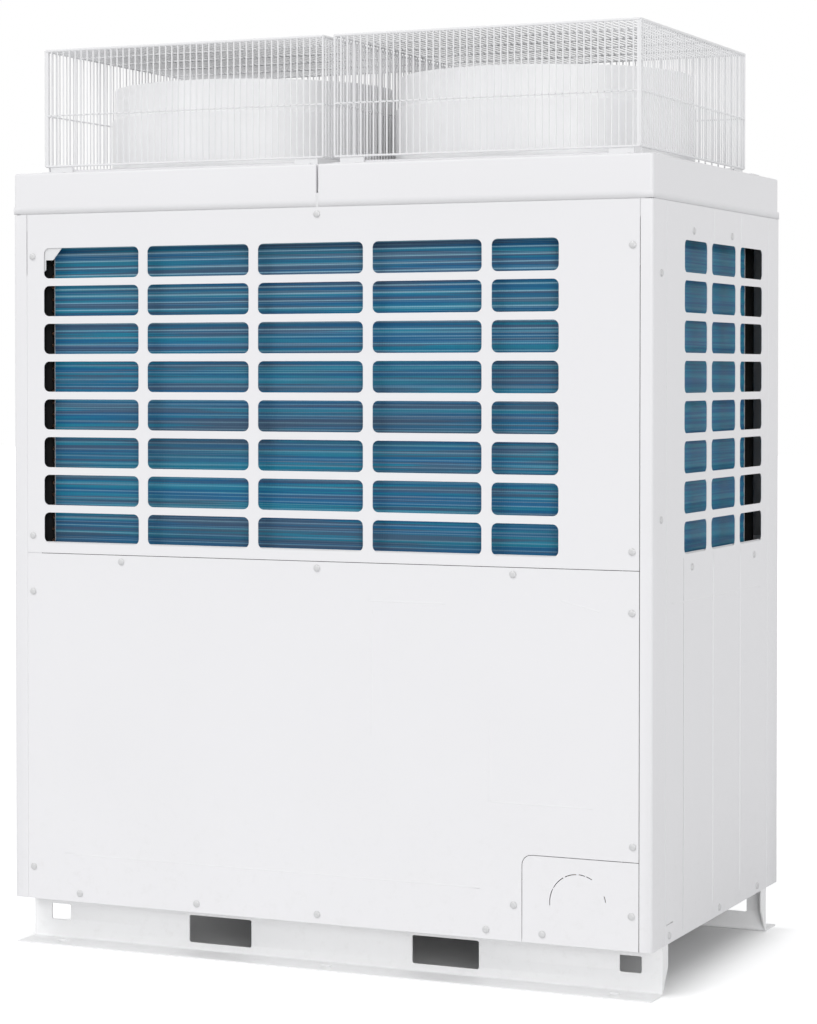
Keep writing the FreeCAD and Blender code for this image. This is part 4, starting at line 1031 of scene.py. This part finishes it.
low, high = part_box("front_coil")
coil_depth = 0.040
outer_bend = 0.100
corner_at = np.array([(low.x + free_end, low.y), (high.x, low.y), (high.x, high.y)])
outer_line = rounded_path(corner_at, [outer_bend], 20)
inner_line = rounded_path(corner_at + [(0, coil_depth), (-coil_depth, coil_depth), (-coil_depth, 0)],
                          [outer_bend - coil_depth], 20)
heights = np.linspace(low.z, high.z, 8 * round((high.z - low.z) / tube_pitch) + 1)
relief = row_relief * (1 - np.abs(2 * ((heights / tube_pitch) % 1) - 1) ** 2)
toward = inner_line - outer_line
toward /= np.linalg.norm(toward, axis=1, keepdims=True)
outer = outer_line[:, None] + relief[None, :, None] * toward[:, None]
inner = inner_line[:, None] - relief[None, :, None] * toward[:, None]
count = len(heights)
loop = np.concatenate([outer, inner[:, ::-1]], axis=1)
levels = np.concatenate([heights, heights[::-1]])
points = np.concatenate([loop, np.broadcast_to(levels[None, :, None], (*loop.shape[:2], 1))], axis=2)
k = np.arange(count - 1)
end_cells = np.stack([k, k + 1, 2 * count - 2 - k, 2 * count - 1 - k], axis=1)
wrapped = tube_faces(len(outer_line), 2 * count)[:, ::-1]
for name, side in (("front", 1), ("back", -1)):
    coil = make_piece(name + "_finned_coil", points.reshape(-1, 3) * (side, side, 1),
                      [wrapped, end_cells, end_cells[:, ::-1] + (len(outer_line) - 1) * 2 * count], fins, smooth=True)
    fit(coil, "cabinet", "coil_fins", name + "_coil")

# End plates of the coils. A sheet in the grey back coat, which is partly painted shade, stands at each end of the fins
# and holds the tubes.
plate_margin = 0.002
plate_over = 0.0004
x_end, y_end = low.x + free_end, high.y
across = coil_depth + plate_margin
plates = [block((x_end - sheet_thickness, low.y - plate_over, low.z), (x_end, low.y + across, high.z)),
          block((high.x - across, y_end, low.z), (high.x + plate_over, y_end + sheet_thickness, high.z))]
plates += [(points * (-1, -1, 1), faces) for points, faces in plates]
points, faces = gather(plates)
end_plates = make_piece("coil_end_plates", points, faces, back_coat_and_shade)
round_edges(end_plates, edge_rounding)
fit(end_plates, "cabinet", "coil_fins")

# Coil headers. Upright pipes beside the coils' ends, with a short copper branch to each second row of tubes. Two are
# in black foam and two in a dark grey sleeve, which are painted shade at the coils' ends.
header_radius = 0.0135
branch_radius = 0.0045
branch_pitch = 2 * tube_pitch
drawn, given, put = new_group("drawn metal", {"Bright": (0.8, 0.5, 0.3), "Tarnish": (0.3, 0.15, 0.1)},
                              "Colour", "Roughness")
stains = soft_step(drawn, cloud(drawn, object_place(drawn), 24.0, 5.0, 0.65), 0.4, 0.75)
set_inputs(drawn, put, Colour=blend_colours(drawn, stains, given["Bright"], given["Tarnish"]),
           Roughness=plus(drawn, 0.24, times(drawn, stains, 0.35)))


def drawn_metal(name, bright, tarnish):
    """A drawn or turned copper alloy with tarnish in patches."""
    material, tree, surface = wear_group(name, drawn, Bright=bright, Tarnish=tarnish)
    set_inputs(tree, surface, Metallic=1.0)
    return material


copper = drawn_metal("copper pipe", (0.72, 0.38, 0.24), (0.32, 0.15, 0.10))
low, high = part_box("coil_headers")
pipe_places = np.array([(-0.5705, -0.323), (0.573, 0.2515)])
branch_ends = np.array([(-0.5555, -0.323), (0.573, 0.2372)])
pipe_places = np.concatenate([pipe_places, -pipe_places])
branch_ends = np.concatenate([branch_ends, -branch_ends])
rows = np.arange(low.z + branch_pitch, high.z - branch_pitch / 2, branch_pitch)
header_sides = 24
points, *faces = straight_wires(at_levels(pipe_places, [low.z]), at_levels(pipe_places, [high.z]), header_radius,
                                header_sides)
# The black foam and the dark grey sleeve stand in for the shade at the coils' ends.
headers = make_piece("coil_header_pipes", points, faces, shade_foam, smooth=True)
headers.data.materials.append(painted("dark grey sleeve for painted shade", (0.060, 0.060, 0.062), 0.2))
shade_cover_index = [0, 1, 0, 1]
headers.data.polygons.foreach_set("material_index", np.concatenate([np.repeat(shade_cover_index, header_sides), shade_cover_index * 2]))
fit(headers, "cabinet", "copper", "coil_headers")
points, *faces = straight_wires(at_levels(pipe_places, rows), at_levels(branch_ends, rows), branch_radius, 8)
branches = make_piece("coil_header_branches", points, faces, copper, smooth=True)
fit(branches, "cabinet", "copper")

# Tube ends of the coils. The copper tubes stand out of the end plates in two rows.
tube_radius = 0.0035
tube_end = 0.009
low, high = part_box("front_coil")
tube_levels = np.arange(low.z + tube_pitch, high.z, tube_pitch)
tube_rows = []
for depth, shift in ((0.008, 0.0), (0.026, tube_pitch / 2)):
    z = tube_levels - shift
    y, x = low.y + depth, high.x - depth
    tube_rows += [wires_between((x_end - tube_end, y, z), (x_end, y, z), tube_radius),
                  wires_between((x, y_end, z), (x, y_end + tube_end, z), tube_radius)]
tube_rows += [(points * (-1, -1, 1), *faces) for points, *faces in tube_rows]
points, faces = gather(tube_rows)
tube_ends = make_piece("coil_tube_ends", points, faces, copper, smooth=True)
fit(tube_ends, "cabinet", "copper")

# Pipes and valves of the machine space, hidden behind the lower panel: copper pipe, brass bodies and stems.
brass = drawn_metal("turned brass", (0.70, 0.52, 0.22), (0.42, 0.29, 0.12))
finish_nodes(copper, "discharge_pipe", "suction_pipe", "gas_pipe", "liquid_pipe")
finish_nodes(brass, "four_way_valve", "gas_valve", "liquid_valve", "gas_valve_stem", "liquid_valve_stem")

# Compressor and vessels of the machine space. Welded steel under a thick black paint, and rubber pads below them.
finish_nodes(painted("black vessel paint", (0.020, 0.020, 0.022), 0.25), "compressor", "accumulator",
             "oil_separator")
rubber, tree, surface = new_material("black rubber")
chalk = cloud(tree, object_place(tree), 130.0, 4.0)
set_inputs(tree, surface, Roughness=0.85, Base_Color=blend_colours(
    tree, soft_step(tree, chalk, 0.4, 0.8), (0.018, 0.018, 0.019), (0.060, 0.058, 0.055)))
add_bump(tree, surface, chalk, 0.4, 0.0004)
finish_nodes(rubber, "compressor_pads")

# Pans and roof frame. Folded sheets inside the cabinet, with the same coat as outside but a thinner one.
finish_nodes(painted("white inner coat", (0.74, 0.74, 0.75), 0.6), "base_pan", "deck", "roof_frame")

# Panel screws. Zinc plated hexagon heads on a round flange, with a slightly domed top, holding the panels to the
# posts and to each other.
flange_radius = 0.0066
flange_height = 0.0010
head_flats = 0.0100
screw_height = 0.0029
screw_sides = 24
front_screws = np.array([(x, z) for x in (-0.5795, 0.584) for z in (0.144, 0.653, 0.756, 1.269)]
                        + [(x, 0.101) for x in (-0.482, -0.240, 0.0, 0.321, 0.424)]
                        + [(x, 0.712) for x in (-0.394, 0.0, 0.370)]
                        + [(0.0, 1.334), (0.372, 0.147), (0.586, 0.261)])
side_screws = np.array([(-0.328, 1.223), (-0.328, 0.808), (-0.152, 1.301), (0.069, 1.301), (-0.159, 0.719),
                        (0.211, 0.719), (-0.280, 0.099), (0.002, 0.099), (0.236, 0.099)])
back_screws = np.array([(x, z) for x in (-0.584, 0.584) for z in (0.144, 0.653, 0.756, 1.269)])

plated, tree, surface = new_material("plated screw steel")
wear = cloud(tree, object_place(tree), 260.0, 3.0)
set_inputs(tree, surface, Metallic=0.35, Roughness=plus(tree, 0.30, times(tree, wear, 0.2)),
           Base_Color=blend_colours(tree, wear, (0.58, 0.58, 0.58), (0.72, 0.72, 0.73)))

turns = 2 * math.pi * np.arange(screw_sides) / screw_sides
hexagon = head_flats / 2 / np.cos((turns + math.pi / 6) % (math.pi / 3) - math.pi / 6)
circle = np.ones(screw_sides)
rings = [(flange_radius * circle, 0.0), (flange_radius * circle, 0.0004),
         ((flange_radius - 0.0006) * circle, flange_height), (hexagon, flange_height),
         (hexagon, screw_height - 0.0006), (hexagon * 0.90, screw_height - 0.0002),
         (0.0022 * circle, screw_height)]
head = np.stack([np.stack([r * np.cos(turns), r * np.sin(turns), np.full(screw_sides, h)], axis=1)
                 for r, h in rings]).reshape(-1, 3)
head_faces = [tube_faces(len(rings), screw_sides)] + tube_caps(len(rings), screw_sides)


def set_screws(places, origin, right_way, out_way):
    """The heads of a row of screws on one face. A head's own axes go along right_way, up and out_way."""
    right_way, out_way, up_way = np.asarray(right_way, float), np.asarray(out_way, float), np.array([0.0, 0.0, 1.0])
    shape = head[:, :1] * right_way + head[:, 1:2] * up_way + head[:, 2:] * out_way
    return [(np.asarray(origin) + x * np.abs(right_way) + z * up_way + shape, *head_faces) for x, z in places]


front_face, back_face, right_face = -0.370, 0.370, 0.620
points, faces = gather(
    set_screws(front_screws, (0, front_face, 0), (1, 0, 0), (0, -1, 0))
    + set_screws(back_screws, (0, back_face, 0), (-1, 0, 0), (0, 1, 0))
    + set_screws(side_screws, (right_face, 0, 0), (0, 1, 0), (1, 0, 0))
    + set_screws(side_screws * (-1, 1), (-right_face, 0, 0), (0, -1, 0), (-1, 0, 0)))
screws = make_piece("flanged_screws", points, faces, plated, smooth=True)
fit(screws, "cabinet", "screw_steel", "panel_screws")

# Floor, light and camera. A pale studio floor with plain soft light from the front left, and the camera to the right
# of the front at eye height, as the photograph was taken.
floor_half = 30.0
camera_floor_glow = 0.45
lift_x = (0.54, 0.70)
lift_y = (0.30, 0.37)
floor_mesh = bpy.data.meshes.new("studio_floor")
floor_mesh.from_pydata([(-floor_half, -floor_half, 0), (floor_half, -floor_half, 0), (floor_half, floor_half, 0),
                        (-floor_half, floor_half, 0)], [], [(0, 1, 2, 3)])
floor = add_object("studio_floor", floor_mesh)
floor_paint, tree, surface = new_material("pale studio floor")
place = object_place(tree)
set_inputs(tree, surface, Roughness=0.9, Specular_IOR_Level=0.0, Emission_Color=(1.0, 1.0, 1.0),
           Base_Color=blend_colours(tree, cloud(tree, place, 1.5, 3.0), (0.90, 0.90, 0.90), (0.92, 0.92, 0.92)))
# For camera rays only, the floor glows everywhere except near the cabinet. This painted light whitens the floor and
# leaves the shade around the cabinet's base.
floor_axes = add_node(tree, "ShaderNodeSeparateXYZ", None, {0: place}).outputs
beside = soft_step(tree, combine(tree, "ABSOLUTE", floor_axes[0]), *lift_x)
before = soft_step(tree, combine(tree, "ABSOLUTE", floor_axes[1]), *lift_y)
lift = times(tree, combine(tree, "MAXIMUM", beside, before), camera_floor_glow)
camera_only = add_node(tree, "ShaderNodeLightPath").outputs["Is Camera Ray"]
set_inputs(tree, surface, Emission_Strength=times(tree, camera_only, lift))
floor_mesh.materials.append(floor_paint)
floor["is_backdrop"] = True

world = bpy.data.worlds.new("studio")
bpy.context.scene.world = world
world.use_nodes = True
tree = world.node_tree
background = tree.nodes["Background"]
path = add_node(tree, "ShaderNodeLightPath").outputs
seen = combine(tree, "MAXIMUM", path["Is Camera Ray"], combine(tree, "MAXIMUM", path["Is Glossy Ray"],
                                                               path["Is Transmission Ray"]))
ambient, backdrop = 0.64, 1.0
set_inputs(tree, background, Color=blend_colours(tree, seen, (0.985, 0.992, 1.0), (1.0, 1.0, 1.0)),
           Strength=add_node(tree, "ShaderNodeMix", None, {0: seen, 2: ambient, 3: backdrop}).outputs[0])

for name, energy, spread, tilt, turn in (("key", 0.85, 28, 42, -32), ("low fill", 0.82, 25, 78, 35)):
    sun = bpy.data.lights.new(name, "SUN")
    sun.energy = energy
    sun.angle = math.radians(spread)
    add_object(name, sun).rotation_euler = (math.radians(tilt), 0, math.radians(turn))

image_width, image_height = 817, 1024
focal_pixels = 2823.84
optical_centre = (359.45, 431.58)
camera_dip, camera_turn = 1.188, 24.693
camera = bpy.data.cameras.new("camera")
camera.sensor_width = 36.0
camera.lens = focal_pixels * camera.sensor_width / image_height
camera.shift_x = (image_width / 2 - optical_centre[0]) / image_height
camera.shift_y = (optical_centre[1] - image_height / 2) / image_height
camera.clip_end = 200.0
viewer = add_object("camera", camera)
viewer.location = (2.1395, -4.8441, 1.0551)
viewer.rotation_euler = (math.radians(90 - camera_dip), 0, math.radians(camera_turn))
bpy.context.scene.camera = viewer
bpy.context.scene.view_settings.view_transform = "Standard"

bpy.context.view_layer.update()
low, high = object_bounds()
